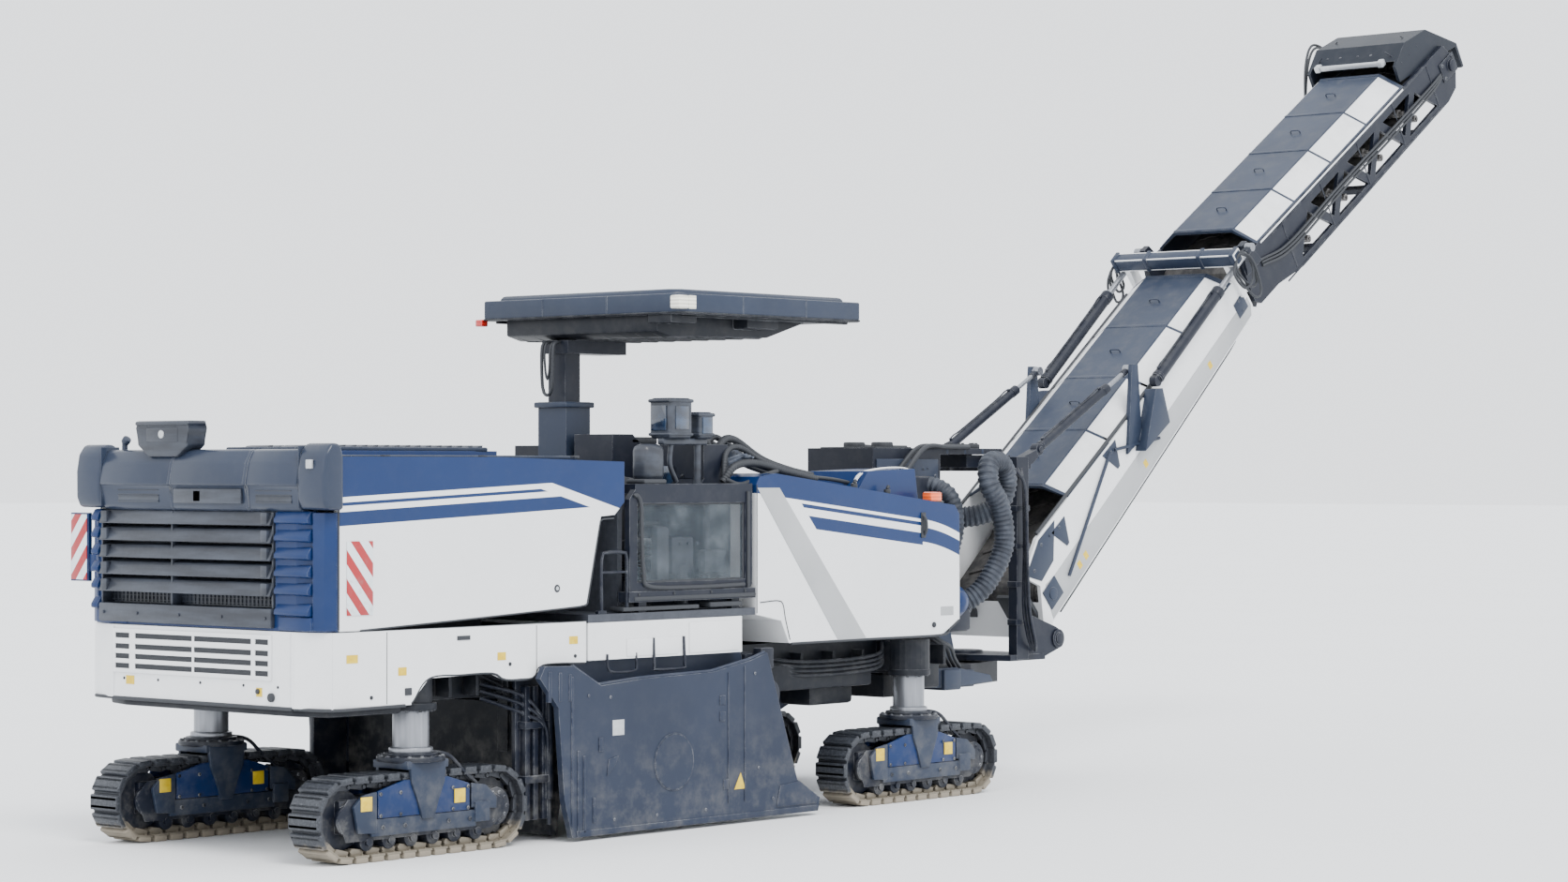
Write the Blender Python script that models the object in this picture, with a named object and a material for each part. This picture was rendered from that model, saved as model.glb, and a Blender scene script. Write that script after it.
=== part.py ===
"""Cold planer milling machine on four crawler tracks, with a front discharge conveyor.

Metres, +X forward, +Y to the machine's left, +Z up, origin on the ground under the middle.
Stations (the x values below) are metres ahead of the rear face; REAR puts that face in world x.
"""

import math

import bmesh
import bpy
from mathutils import Matrix, Vector

REAR = -7.89

# body
HALF = 1.25
GAP = 0.0003
SKIN = 0.05
SKIRT_LOW = 1.035
SKIRT_TOP = 1.54
SKIRT_END = 2.45
HOOD_START = 0.14
HOOD_END = 2.84
HOOD_TOP = 2.70
PLATFORM_FRONT = 4.25
FLOOR_Z = 1.585
BODY_FRONT = 6.70

# crawler units
TRACK_LENGTH = 1.94
TRACK_HEIGHT = 0.58
TRACK_WIDTH = 0.30
TRACK_PAD = 0.045
LEG_Y = 1.05
LEG_RADIUS = 0.125
LEG_TOP = 1.0
LEGS = {"rear": 0.96, "front": 6.30}
SIDES = {"right": -1, "left": 1}

# milling drum
DRUM_X = 3.28
DRUM_Z = 0.56
DRUM_RADIUS = 0.46
DRUM_HALF = 0.99
HOUSING_HALF = 1.14
PLATE_IN = 1.275
PLATE_OUT = 1.325

# canopy
POST_X = 3.85
POST_Y = 0.32

# discharge conveyor: two sections, each drawn from the fold pin along its own slope
SLEW_X = 8.30
LIFT_PIN = (8.80, 1.17)
FOLD_PIN = (12.05, 4.06)
UPPER_SLOPE = math.radians(33.5)
LOWER_SLOPE = math.atan2(FOLD_PIN[1] - LIFT_PIN[1], FOLD_PIN[0] - LIFT_PIN[0])
LOWER_LENGTH = math.hypot(FOLD_PIN[0] - LIFT_PIN[0], FOLD_PIN[1] - LIFT_PIN[1])
UPPER_LENGTH = 4.30
UNDER = -0.03
BELT_HALF = 0.42
CONVEYOR_HALF = 0.55
COVER_HALF = 0.33

# cylinders: eye stations and heights at rest
LIFT_EYE = (8.715, 2.785)
LIFT_ROD_EYE = (10.05, 3.50)
FOLD_EYE = (10.30, 3.40)
FOLD_ROD_EYE = (11.80, 4.66)

BLUE = (0.045, 0.155, 0.36)
WHITE = (0.85, 0.86, 0.87)
SLATE = (0.13, 0.17, 0.24)
DARK = (0.025, 0.03, 0.045)
STEEL = (0.42, 0.45, 0.48)
RUBBER = (0.02, 0.02, 0.025)
GLASS = (0.6, 0.7, 0.75)

for old in list(bpy.data.objects):
    bpy.data.objects.remove(old, do_unlink=True)
parts = bpy.data.collections.new("cold_planer")
tools = bpy.data.collections.new("cutters")
bpy.context.scene.collection.children.link(parts)
bpy.context.scene.collection.children.link(tools)

materials = {}


def material(name, colour, roughness, metallic=0.0, alpha=1.0):
    made = bpy.data.materials.new(name)
    made.use_nodes = True
    shader = made.node_tree.nodes["Principled BSDF"]
    shader.inputs["Base Color"].default_value = (*colour, 1.0)
    shader.inputs["Roughness"].default_value = roughness
    shader.inputs["Metallic"].default_value = metallic
    shader.inputs["Alpha"].default_value = alpha
    materials[name] = made


material("blue_paint", BLUE, 0.35)
material("white_paint", WHITE, 0.35)
material("slate_paint", SLATE, 0.5)
material("dark_paint", DARK, 0.55)
material("bare_steel", STEEL, 0.35, 1.0)
material("rubber", RUBBER, 0.8)
material("glass", GLASS, 0.1, 0.0, 0.35)


def finished(shape, name, paint):
    """Names a shape as a part of the machine and paints it."""
    shape.name = name
    shape.data.name = name
    shape.data.materials.clear()
    shape.data.materials.append(materials[paint])
    for holder in list(shape.users_collection):
        holder.objects.unlink(shape)
    parts.objects.link(shape)
    return shape


def tool(shape):
    """Keeps a shape as a Boolean operand only."""
    shape.hide_render = True
    shape.display_type = "WIRE"
    for holder in list(shape.users_collection):
        holder.objects.unlink(shape)
    tools.objects.link(shape)
    return shape


def combine(shape, operation, others):
    for other in others:
        step = shape.modifiers.new(operation.lower(), "BOOLEAN")
        step.operation = operation
        step.solver = "EXACT"
        step.object = tool(other)
    return shape


def cut(shape, *others):
    return combine(shape, "DIFFERENCE", others)


def fuse(shape, *others):
    return combine(shape, "UNION", others)


def from_bmesh(mesh):
    data = bpy.data.meshes.new("shape")
    mesh.to_mesh(data)
    mesh.free()
    shape = bpy.data.objects.new("shape", data)
    bpy.context.scene.collection.objects.link(shape)
    return shape


def box(x0, x1, y0, y1, z0, z1):
    mesh = bmesh.new()
    centre = Vector(((x0 + x1) / 2 + REAR, (y0 + y1) / 2, (z0 + z1) / 2))
    size = Matrix.Diagonal((x1 - x0, y1 - y0, z1 - z0, 1.0))
    bmesh.ops.create_cube(mesh, size=1.0, matrix=Matrix.Translation(centre) @ size)
    return from_bmesh(mesh)


def rod(start, end, radius, sides=24):
    """A round bar between two points."""
    a = Vector((start[0] + REAR, start[1], start[2]))
    b = Vector((end[0] + REAR, end[1], end[2]))
    turn = (b - a).to_track_quat("Z", "Y").to_matrix().to_4x4()
    place = Matrix.Translation((a + b) / 2) @ turn
    mesh = bmesh.new()
    bmesh.ops.create_cone(mesh, cap_ends=True, segments=sides, radius1=radius, radius2=radius,
                          depth=(b - a).length, matrix=place)
    for face in mesh.faces:
        face.smooth = len(face.verts) == 4
    return from_bmesh(mesh)


def cross_rod(x, z, y0, y1, radius, sides=24):
    return rod((x, y0, z), (x, y1, z), radius, sides)


AXES = {
    "X": Matrix(((0, 0, 1, 0), (1, 0, 0, 0), (0, 1, 0, 0), (0, 0, 0, 1))),
    "Y": Matrix(((1, 0, 0, 0), (0, 0, -1, 0), (0, 1, 0, 0), (0, 0, 0, 1))),
    "Z": Matrix.Identity(4),
}


def plate(axis, low, high, outline, *holes):
    """A flat outline, with any holes, made thick along an axis from low to high."""
    curve = bpy.data.curves.new("outline", "CURVE")
    curve.dimensions = "2D"
    curve.fill_mode = "BOTH"
    curve.extrude = (high - low) / 2
    for ring in (outline, *holes):
        spline = curve.splines.new("POLY")
        spline.points.add(len(ring) - 1)
        for point, (u, v) in zip(spline.points, ring):
            point.co = (u, v, 0.0, 1.0)
        spline.use_cyclic_u = True
    drawn = bpy.data.objects.new("outline", curve)
    bpy.context.scene.collection.objects.link(drawn)
    graph = bpy.context.evaluated_depsgraph_get()
    data = bpy.data.meshes.new_from_object(drawn.evaluated_get(graph))
    bpy.data.objects.remove(drawn, do_unlink=True)
    mesh = bmesh.new()
    mesh.from_mesh(data)
    bpy.data.meshes.remove(data)
    bmesh.ops.remove_doubles(mesh, verts=mesh.verts, dist=0.00005)
    middle = (low + high) / 2
    shift = {"X": (middle + REAR, 0, 0), "Y": (REAR, middle, 0), "Z": (REAR, 0, middle)}[axis]
    bmesh.ops.transform(mesh, verts=mesh.verts, matrix=Matrix.Translation(shift) @ AXES[axis])
    bmesh.ops.recalc_face_normals(mesh, faces=mesh.faces)
    return from_bmesh(mesh)


def arc(cx, cy, radius, start, end, steps):
    """Points on an arc, angles in degrees."""
    turn = [math.radians(start + (end - start) * i / steps) for i in range(steps + 1)]
    return [(cx + radius * math.cos(a), cy + radius * math.sin(a)) for a in turn]


def stadium(cx, cy, length, height, steps=10):
    radius = height / 2
    run = length / 2 - radius
    return arc(cx + run, cy, radius, -90, 90, steps) + arc(cx - run, cy, radius, 90, 270, steps)


def pivot(shape, x, y, z):
    """Moves a shape's origin to a joint without moving the shape."""
    place = Vector((x + REAR, y, z))
    shape.data.transform(Matrix.Translation(-place))
    shape.location = place
    return shape


def on_slope(slope, s, n):
    """Station and height of a point s along a conveyor section and n above it, from the fold pin."""
    x = FOLD_PIN[0] + s * math.cos(slope) - n * math.sin(slope)
    z = FOLD_PIN[1] + s * math.sin(slope) + n * math.cos(slope)
    return (x, z)


def lower(*points):
    return [on_slope(LOWER_SLOPE, s, n) for s, n in points]


def upper(*points):
    return [on_slope(UPPER_SLOPE, s, n) for s, n in points]


# ---- chassis -------------------------------------------------------------------------------

def legs_at(end):
    return [(side, sign, LEGS[end]) for side, sign in SIDES.items()]


rear_frame = box(0.16, 2.24, -0.84, 0.84, 1.02, 1.29)
for side, sign, x in legs_at("rear"):
    fuse(rear_frame, rod((x, sign * LEG_Y, LEG_TOP), (x, sign * LEG_Y, 1.29), 0.145))
    arm = sorted((sign * 0.80, sign * LEG_Y))
    fuse(rear_frame, box(x - 0.16, x + 0.16, arm[0], arm[1], 1.035, 1.275))
finished(rear_frame, "rear_frame", "dark_paint")

front_frame = plate("Z", 0.80, 0.98, [(6.22, -0.86), (6.66, -0.86), (6.90, -0.42), (7.90, -0.42),
                                      (8.50, -0.24), (8.50, 0.24), (7.90, 0.42), (6.90, 0.42),
                                      (6.66, 0.86), (6.22, 0.86)])
for sign in SIDES.values():
    rail = sorted((sign * 0.58, sign * 0.85))
    fuse(front_frame, box(4.42, 6.64, rail[0], rail[1], 1.0, 1.28))
    fuse(front_frame, box(6.24, 6.63, rail[0] + 0.01, rail[1] - 0.01, 0.90, 1.10))
for side, sign, x in legs_at("front"):
    fuse(front_frame, rod((x, sign * LEG_Y, LEG_TOP), (x, sign * LEG_Y, 1.27), 0.17))
    arm = sorted((sign * 0.80, sign * LEG_Y))
    fuse(front_frame, box(x - 0.16, x + 0.16, arm[0], arm[1], 1.02, 1.255))
finished(front_frame, "front_frame", "dark_paint")


# ---- rear skirt, cowl, hood ----------------------------------------------------------------

def skirt_plan(inset):
    """Plan outline of the rear body, whose corners turn forward a little before the sides."""
    side = HALF - inset
    return [(inset, -side + 0.28), (inset + 0.08, -side), (SKIRT_END, -side), (SKIRT_END, side),
            (inset + 0.08, side), (inset, side - 0.28)]


rear_skirt = plate("Z", SKIRT_LOW, SKIRT_TOP, skirt_plan(0.0))
hollow = skirt_plan(SKIN)
hollow[2] = (SKIRT_END + 0.1, -(HALF - SKIN))
hollow[3] = (SKIRT_END + 0.1, HALF - SKIN)
cut(rear_skirt, plate("Z", SKIRT_LOW - 0.1, SKIRT_TOP + 0.1, hollow))
wheel_arch = [(0.78, 0.9), (0.78, 1.05), (0.94, 1.205), (1.54, 1.215), (1.66, 1.165), (1.93, 1.165),
              (2.02, 1.25), (2.60, 1.25), (2.60, 0.9)]
cut(rear_skirt, plate("Y", -HALF - 0.1, HALF + 0.1, wheel_arch))
finished(rear_skirt, "rear_skirt", "white_paint")

COWL_LOW = SKIRT_TOP + 0.003
rear_cowl = plate("Z", COWL_LOW, 2.33, [(0.01, -0.97), (0.06, -1.20), (0.128, -HALF), (0.128, HALF),
                                        (0.06, 1.20), (0.01, 1.09)])
cut(rear_cowl, box(-0.05, 0.20, -0.76, 1.085, 1.69, 2.34))
fuse(rear_cowl, box(0.04, 0.09, 1.20, 1.30, 1.90, 2.02), box(0.03, 0.06, 1.262, 1.46, 1.83, 2.31))
finished(rear_cowl, "rear_cowl", "blue_paint")

rear_louvres = box(-0.01, 0.125, -0.755, 1.08, 1.695, 2.325)
for row in range(5):
    z = 1.785 + 0.115 * row
    cut(rear_louvres, box(-0.05, 0.075, -0.70, 1.03, z, z + 0.055))
finished(rear_louvres, "rear_louvres", "dark_paint")

visor_side = [(0.128, 2.333), (0.128, 2.74), (0.0, 2.75), (-0.05, 2.70), (-0.06, 2.42), (-0.02, 2.333)]
rear_visor = plate("Y", -1.10, 1.10, visor_side)
corner_cap = [(0.124, 2.338), (0.124, 2.79), (0.03, 2.79), (-0.034, 2.73), (-0.036, 2.338)]
for side in SIDES.values():
    edges = sorted((side * 1.05, side * 1.31))
    fuse(rear_visor, plate("Y", edges[0], edges[1], corner_cap))
camera_box = plate("Z", 2.70, 2.95, [(-0.02, 0.12), (0.02, 0.08), (0.12, 0.08), (0.12, 0.66),
                                     (0.02, 0.66), (-0.02, 0.62)])
fuse(rear_visor, camera_box)
finished(rear_visor, "rear_visor", "slate_paint")

finished(box(0.55, 2.10, -0.55, 0.55, 1.32, 2.25), "engine_block", "dark_paint")

hood_side = [(HOOD_START, SKIRT_TOP + 0.006), (0.30, SKIRT_TOP + 0.006), (SKIRT_END, 1.65), (2.60, 2.28),
             (2.74, 2.29), (HOOD_END, 2.38), (HOOD_END, 2.67), (1.60, HOOD_TOP), (HOOD_START, HOOD_TOP)]
hood = plate("Y", -HALF, HALF, hood_side)
hood_inside = [(0.0, 1.40), (2.40, 1.40), (2.40, 1.70), (2.53, 2.25), (2.53, 2.62), (1.60, 2.64), (0.0, 2.64)]
cut(hood, plate("Y", -HALF + SKIN, HALF - SKIN, hood_inside))
raised = plate("Z", 2.68, 2.745, [(0.60, -0.62), (2.30, -0.50), (2.30, 0.50), (0.60, 0.62)])
fuse(hood, raised)
finished(hood, "hood", "white_paint")
pivot(hood, 0.16, 0.0, HOOD_TOP)


# ---- operator platform ---------------------------------------------------------------------

platform_base = plate("X", 2.47, 4.10, [(-HALF, 1.26), (-1.17, 1.26), (-1.17, 1.505), (1.17, 1.505),
                                        (1.17, 1.26), (HALF, 1.26), (HALF, 1.527), (-HALF, 1.527)])
finished(platform_base, "platform_base", "white_paint")

platform_floor = box(2.47, PLATFORM_FRONT - 0.005, -HALF, HALF, 1.53, FLOOR_Z)
fuse(platform_floor, box(2.90, 2.95, -1.12, 1.12, FLOOR_Z - 0.01, 2.45))
finished(platform_floor, "platform_floor", "dark_paint")

for side, sign in SIDES.items():
    across = sorted((sign * 1.245, sign * 1.195))
    frame = plate("Y", across[0], across[1],
                  [(2.90, 1.70), (4.16, 1.70), (4.22, 1.76), (4.22, 2.47), (2.96, 2.47), (2.90, 2.40)],
                  [(2.98, 1.80), (2.98, 2.37), (4.14, 2.37), (4.14, 1.80)])
    shelf = sorted((sign * 1.245, sign * 1.02))
    fuse(frame, box(2.96, 4.22, shelf[0], shelf[1], 2.44, 2.51))
    sill = sorted((sign * 1.26, sign * 1.15))
    fuse(frame, box(2.88, 4.24, sill[0], sill[1], 1.66, 1.735))
    for x in (3.05, 4.05):
        fuse(frame, box(x - 0.04, x + 0.04, sill[0] + 0.03, sill[1] - 0.03, FLOOR_Z + GAP, 1.68))
    finished(frame, "side_screen_frame_" + side, "dark_paint")
    pane = sorted((sign * 1.226, sign * 1.214))
    finished(box(2.981, 4.139, pane[0], pane[1], 1.801, 2.369), "side_glass_" + side, "glass")

    centre = sign * 0.72
    seat = box(3.22, 3.70, centre - 0.25, centre + 0.25, 1.96, 2.08)
    back = plate("Y", centre - 0.24, centre + 0.24, [(3.20, 2.02), (3.34, 2.02), (3.26, 2.62), (3.14, 2.62)])
    fuse(seat, back, rod((3.45, centre, FLOOR_Z + GAP), (3.45, centre, 1.97), 0.09, 16))
    finished(seat, "operator_seat_" + side, "rubber")

monitor_stand = rod((3.86, -1.02, 2.51 + GAP), (3.86, -1.02, 2.84), 0.03, 12)
fuse(monitor_stand, box(3.46, 3.92, -1.05, -0.99, 2.80, 2.85), box(3.46, 3.72, -1.12, -0.90, 2.84, 3.14),
     box(3.80, 3.96, -1.10, -0.92, 2.84, 3.04))
finished(monitor_stand, "monitor_stand", "dark_paint")

control_console = plate("Y", -1.00, 1.00, [(3.96, FLOOR_Z + GAP), (PLATFORM_FRONT - 0.005, FLOOR_Z + GAP),
                                           (PLATFORM_FRONT - 0.005, 2.62), (4.05, 2.66), (3.90, 2.48),
                                           (3.96, 2.30)])
tower = plate("Y", -0.30, 0.10, [(3.70, 2.20), (4.02, 2.20), (4.02, 2.80), (3.92, 2.88), (3.70, 2.88)])
fuse(control_console, tower, box(3.95, 4.22, -1.00, -0.55, 2.55, 2.80), box(3.95, 4.22, 0.55, 1.00, 2.55, 2.80))
cut(control_console, box(3.60, 3.95, POST_Y - 0.16, POST_Y + 0.16, 1.50, 2.95))
finished(control_console, "control_console", "dark_paint")

canopy_post = box(POST_X - 0.17, POST_X + 0.09, POST_Y - 0.15, POST_Y + 0.15, FLOOR_Z + GAP, 3.13)
cut(canopy_post, box(POST_X - 0.128, POST_X + 0.048, POST_Y - 0.098, POST_Y + 0.098, 2.10, 3.30))
finished(canopy_post, "canopy_post", "slate_paint")

canopy_mast = box(POST_X - 0.12, POST_X + 0.04, POST_Y - 0.09, POST_Y + 0.09, 2.60, 3.58)
fuse(canopy_mast, box(POST_X - 0.14, POST_X + 0.50, POST_Y - 0.14, POST_Y + 0.14, 3.50, 3.60))
finished(canopy_mast, "canopy_mast", "slate_paint")

roof_plan = [(3.70, -1.08), (5.66, -1.08), (5.76, -0.98), (5.76, 0.98), (5.66, 1.08), (3.70, 1.08),
             (3.60, 0.98), (3.60, -0.98)]
canopy_roof = plate("Z", 3.76, 3.92, roof_plan)
crown = plate("Z", 3.90, 3.955, [(3.82, -0.9), (5.54, -0.9), (5.54, 0.9), (3.82, 0.9)])
belly = plate("Y", -0.80, 0.80, [(3.66, 3.77), (5.40, 3.77), (4.90, 3.62), (3.80, 3.601), (3.66, 3.64)])
fuse(canopy_roof, crown, belly)
finished(canopy_roof, "canopy_roof", "slate_paint")

# ---- front body ----------------------------------------------------------------------------

front_side = [(4.26, 1.53), (4.54, 1.475), (4.63, 1.305), (6.48, 1.305), (BODY_FRONT, 1.42),
              (BODY_FRONT, 2.26), (6.64, 2.33), (4.48, 2.585), (4.30, 2.56), (4.26, 2.50)]
front_body = plate("Y", -HALF, HALF, front_side)
fuse(front_body, plate("Y", -1.05, -0.45, [(5.62, 2.38), (5.80, 2.60), (6.38, 2.62), (6.44, 2.26)]))
cut(front_body, box(4.10, 6.80, -0.62, 0.62, 1.20, 2.05))
finished(front_body, "front_body", "white_paint")

# ---- crawler units -------------------------------------------------------------------------

for end, x in LEGS.items():
    for side, sign in SIDES.items():
        y = sign * LEG_Y
        inner = (y - TRACK_WIDTH / 2, y + TRACK_WIDTH / 2)
        loop = plate("Y", inner[0], inner[1],
                     stadium(x, TRACK_HEIGHT / 2, TRACK_LENGTH, TRACK_HEIGHT),
                     stadium(x, TRACK_HEIGHT / 2, TRACK_LENGTH - 2 * TRACK_PAD, TRACK_HEIGHT - 2 * TRACK_PAD))
        finished(loop, f"track_{end}_{side}", "rubber")
        pivot(loop, x, y, 0.0)
        inside = stadium(x, TRACK_HEIGHT / 2, TRACK_LENGTH - 2 * TRACK_PAD - 0.002,
                         TRACK_HEIGHT - 2 * TRACK_PAD - 0.002)
        unit = plate("Y", y - 0.13, y + 0.13, inside)
        yoke = plate("Y", y - 0.158 - 0.02, y - 0.158, [(x - 0.42, 0.22), (x + 0.42, 0.22), (x + 0.42, 0.42),
                                                        (x + 0.20, 0.66), (x - 0.20, 0.66), (x - 0.42, 0.42)])
        other = plate("Y", y + 0.158, y + 0.158 + 0.02, [(x - 0.42, 0.22), (x + 0.42, 0.22), (x + 0.42, 0.42),
                                                         (x + 0.20, 0.66), (x - 0.20, 0.66), (x - 0.42, 0.42)])
        bridge = box(x - 0.19, x + 0.19, y - 0.17, y + 0.17, 0.58, 0.66)
        boss = box(x - 0.30, x + 0.30, y - 0.165, y + 0.165, 0.26, 0.40)
        flange = rod((x, y, 0.65), (x, y, 0.70), 0.20)
        leg = rod((x, y, 0.69), (x, y, LEG_TOP - GAP), LEG_RADIUS)
        fuse(unit, boss, yoke, other, bridge, flange, leg)
        finished(unit, f"track_frame_{end}_{side}", "dark_paint")
        pivot(unit, x, y, 0.0)

# ---- milling drum and its housing ----------------------------------------------------------

housing_side = [(2.40, 0.30), (4.22, 0.30), (4.22, 1.22), (4.05, 1.49), (2.62, 1.49), (2.40, 1.28)]
drum_housing = plate("Y", -HOUSING_HALF, HOUSING_HALF, housing_side)
housing_hollow = [(2.45, 0.20), (4.17, 0.20), (4.17, 1.21), (4.03, 1.44), (2.64, 1.44), (2.45, 1.26)]
cut(drum_housing, plate("Y", -HOUSING_HALF + SKIN, HOUSING_HALF - SKIN, housing_hollow))
cut(drum_housing, box(4.10, 4.30, -0.46, 0.46, 0.20, 1.10))
for sign in SIDES.values():
    edges = sorted((sign * (HOUSING_HALF - 0.01), sign * (PLATE_IN - 0.01)))
    for x in (2.44, 4.10):
        fuse(drum_housing, box(x, x + 0.09, edges[0], edges[1], 0.42, 1.02))
finished(drum_housing, "drum_housing", "slate_paint")

scraper = plate("Y", -1.06, 1.06, [(2.28, 0.03), (2.34, 0.03), (2.395, 0.30), (2.395, 0.95), (2.28, 0.95)])
for sign in SIDES.values():
    fuse(scraper, box(2.262, 2.335, sign * 0.6 - 0.05, sign * 0.6 + 0.05, 0.60, 0.99))
finished(scraper, "scraper_blade", "dark_paint")

milling_drum = cross_rod(DRUM_X, DRUM_Z, -DRUM_HALF, DRUM_HALF, DRUM_RADIUS, 40)
finished(milling_drum, "milling_drum", "bare_steel")
pivot(milling_drum, DRUM_X, 0.0, DRUM_Z)

for side, sign in SIDES.items():
    edges = sorted((sign * PLATE_IN, sign * PLATE_OUT))
    panel = plate("Y", edges[0], edges[1],
                  [(2.24, 0.03), (4.88, 0.03), (4.90, 0.13), (4.64, 0.28), (4.30, 1.25), (4.12, 1.20),
                   (3.70, 1.13), (2.95, 1.115), (2.53, 1.085), (2.25, 1.235), (1.97, 1.245),
                   (1.92, 1.16), (2.10, 0.95), (2.16, 0.30)])
    ring = sorted((sign * (PLATE_OUT - 0.01), sign * (PLATE_OUT + 0.008)))
    fuse(panel, cross_rod(DRUM_X, 0.50, ring[0], ring[1], 0.20, 32))
    finished(panel, "side_plate_" + side, "slate_paint")
    pivot(panel, DRUM_X, sign * PLATE_IN, 0.0)

# ---- primary conveyor, gantry and slewing yoke ---------------------------------------------

primary_side = [(4.28, 0.34), (4.45, 0.34), (7.58, 1.55), (7.58, 1.98), (7.40, 2.00), (4.28, 0.80)]
primary_conveyor = plate("Y", -0.45, 0.45, primary_side)
primary_hollow = [(4.10, 0.42), (4.45, 0.42), (7.70, 1.67), (7.70, 1.90), (7.40, 1.90), (4.10, 0.68)]
cut(primary_conveyor, plate("Y", -0.40, 0.40, primary_hollow))
finished(primary_conveyor, "primary_conveyor", "slate_paint")

gantry = plate("Y", -0.35, 0.35, [(BODY_FRONT + GAP, 2.06), (6.98, 2.06), (7.20, 2.42), (7.58, 2.45),
                                  (7.58, 2.74), (8.42, 2.74), (8.42, 2.79), (BODY_FRONT + GAP, 2.79)])
fuse(gantry, box(BODY_FRONT + GAP, 6.90, -0.62, 0.62, 2.08, 2.30))
finished(gantry, "slew_gantry", "dark_paint")

slew_yoke = plate("Z", 1.0, 1.05, [(8.00, -0.30), (8.14, -0.66), (8.62, -0.66), (8.62, 0.66), (8.14, 0.66),
                                   (8.00, 0.30)])
fuse(slew_yoke, box(8.00, 8.60, -0.30, 0.30, 2.63, 2.735))
fuse(slew_yoke, box(8.22, 8.38, -0.665, 0.665, 2.60, 2.72))
for sign in SIDES.values():
    post = sorted((sign * 0.575, sign * 0.665))
    fuse(slew_yoke, box(8.22, 8.38, post[0], post[1], 1.01, 2.71))
    ear = sorted((sign * 0.575, sign * 0.655))
    fuse(slew_yoke, plate("Y", ear[0], ear[1], [(8.30, 1.02), (8.61, 1.02), (8.87, 1.10), (8.88, 1.22),
                                                (8.78, 1.27), (8.30, 1.42)]))
    bracket = sorted((sign * 0.46, sign * 0.54))
    fuse(slew_yoke, box(8.30, 8.58, bracket[0], bracket[1], 2.62, 2.71))
    fuse(slew_yoke, plate("Y", bracket[0], bracket[1], [(8.45, 2.68), (8.60, 2.66), (8.685, 2.72), (8.66, 2.785),
                                                        (8.45, 2.71)]))
finished(slew_yoke, "slew_yoke", "dark_paint")
pivot(slew_yoke, SLEW_X, 0.0, 1.0)

# ---- discharge conveyor, lower section -----------------------------------------------------

TAIL = -LOWER_LENGTH
side_outline = lower((TAIL - 0.03, 0.02), (TAIL + 0.06, -0.05), (TAIL + 0.14, 0.05), (-0.07, 0.05),
                     (-0.02, 0.12), (-0.02, 0.48), (TAIL + 0.45, 0.74), (TAIL + 0.10, 0.62), (TAIL + 0.22, 0.40))
lower_frame = plate("Y", -CONVEYOR_HALF, CONVEYOR_HALF, side_outline)
trough = lower((TAIL + 0.20, 0.10), (0.10, 0.10), (0.10, 1.20), (TAIL - 0.50, 1.20), (TAIL - 0.10, 0.62),
               (TAIL + 0.12, 0.35))
cut(lower_frame, plate("Y", -CONVEYOR_HALF + 0.035, CONVEYOR_HALF - 0.035, trough))
fuse(lower_frame, plate("Y", -0.69, 0.69, lower((-0.13, 0.66), (-0.02, 0.66), (-0.02, 0.79), (-0.13, 0.79))))
for sign in SIDES.values():
    portal = sorted((sign * 0.525, sign * 0.58))
    fuse(lower_frame, plate("Y", portal[0], portal[1], lower((-0.13, 0.30), (-0.02, 0.30), (-0.02, 0.70),
                                                             (-0.13, 0.70))))
    pin = sorted((sign * 0.47, sign * 0.549))
    fuse(lower_frame, plate("Y", pin[0], pin[1], lower((-0.30, 0.10), (-0.05, -0.055), (0.03, -0.05),
                                                       (0.055, 0.0), (0.03, 0.05), (-0.02, 0.10))))
    cheek = sorted((sign * 0.54, sign * 0.575))
    x, z = LIFT_ROD_EYE
    fuse(lower_frame, plate("Y", cheek[0], cheek[1], [(x - 0.10, z - 0.75), (x + 0.10, z - 0.60), (x + 0.04, z + 0.04),
                                                      (x - 0.04, z + 0.04)]))
    x, z = FOLD_EYE
    side = sorted((sign * 0.54, sign * 0.66))
    fuse(lower_frame, plate("Y", side[0], side[1], [(x - 0.20, z - 0.62), (x + 0.16, z - 0.36), (x + 0.05, z - 0.065),
                                                    (x - 0.05, z - 0.075)]))
finished(lower_frame, "lower_conveyor_frame", "white_paint")
pivot(lower_frame, LIFT_PIN[0], 0.0, LIFT_PIN[1])


def cover_section(section, s0, s1, low0, low1, rise):
    """A raised cover: flat top and bevelled sides between two stations of a section."""
    mesh = bmesh.new()
    rings = []
    for s, low in ((s0, low0), (s1, low1)):
        ring = []
        for y, n in ((-CONVEYOR_HALF, low), (-COVER_HALF, low + rise), (COVER_HALF, low + rise),
                     (CONVEYOR_HALF, low), (CONVEYOR_HALF - 0.03, low), (COVER_HALF - 0.015, low + rise - 0.03),
                     (-COVER_HALF + 0.015, low + rise - 0.03), (-CONVEYOR_HALF + 0.03, low)):
            x, z = section((s, n))[0]
            ring.append(mesh.verts.new((x + REAR, y, z)))
        rings.append(ring)
    count = len(rings[0])
    for i in range(count):
        j = (i + 1) % count
        mesh.faces.new((rings[0][i], rings[0][j], rings[1][j], rings[1][i]))
    mesh.faces.new(rings[0])
    mesh.faces.new(list(reversed(rings[1])))
    bmesh.ops.recalc_face_normals(mesh, faces=mesh.faces)
    bmesh.ops.triangulate(mesh, faces=mesh.faces)
    return from_bmesh(mesh)


def side_top(s):
    """Height of the lower side panel's top edge."""
    along = (s - (TAIL + 0.45)) / (-0.02 - (TAIL + 0.45))
    return 0.74 + (0.48 - 0.74) * along


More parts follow.
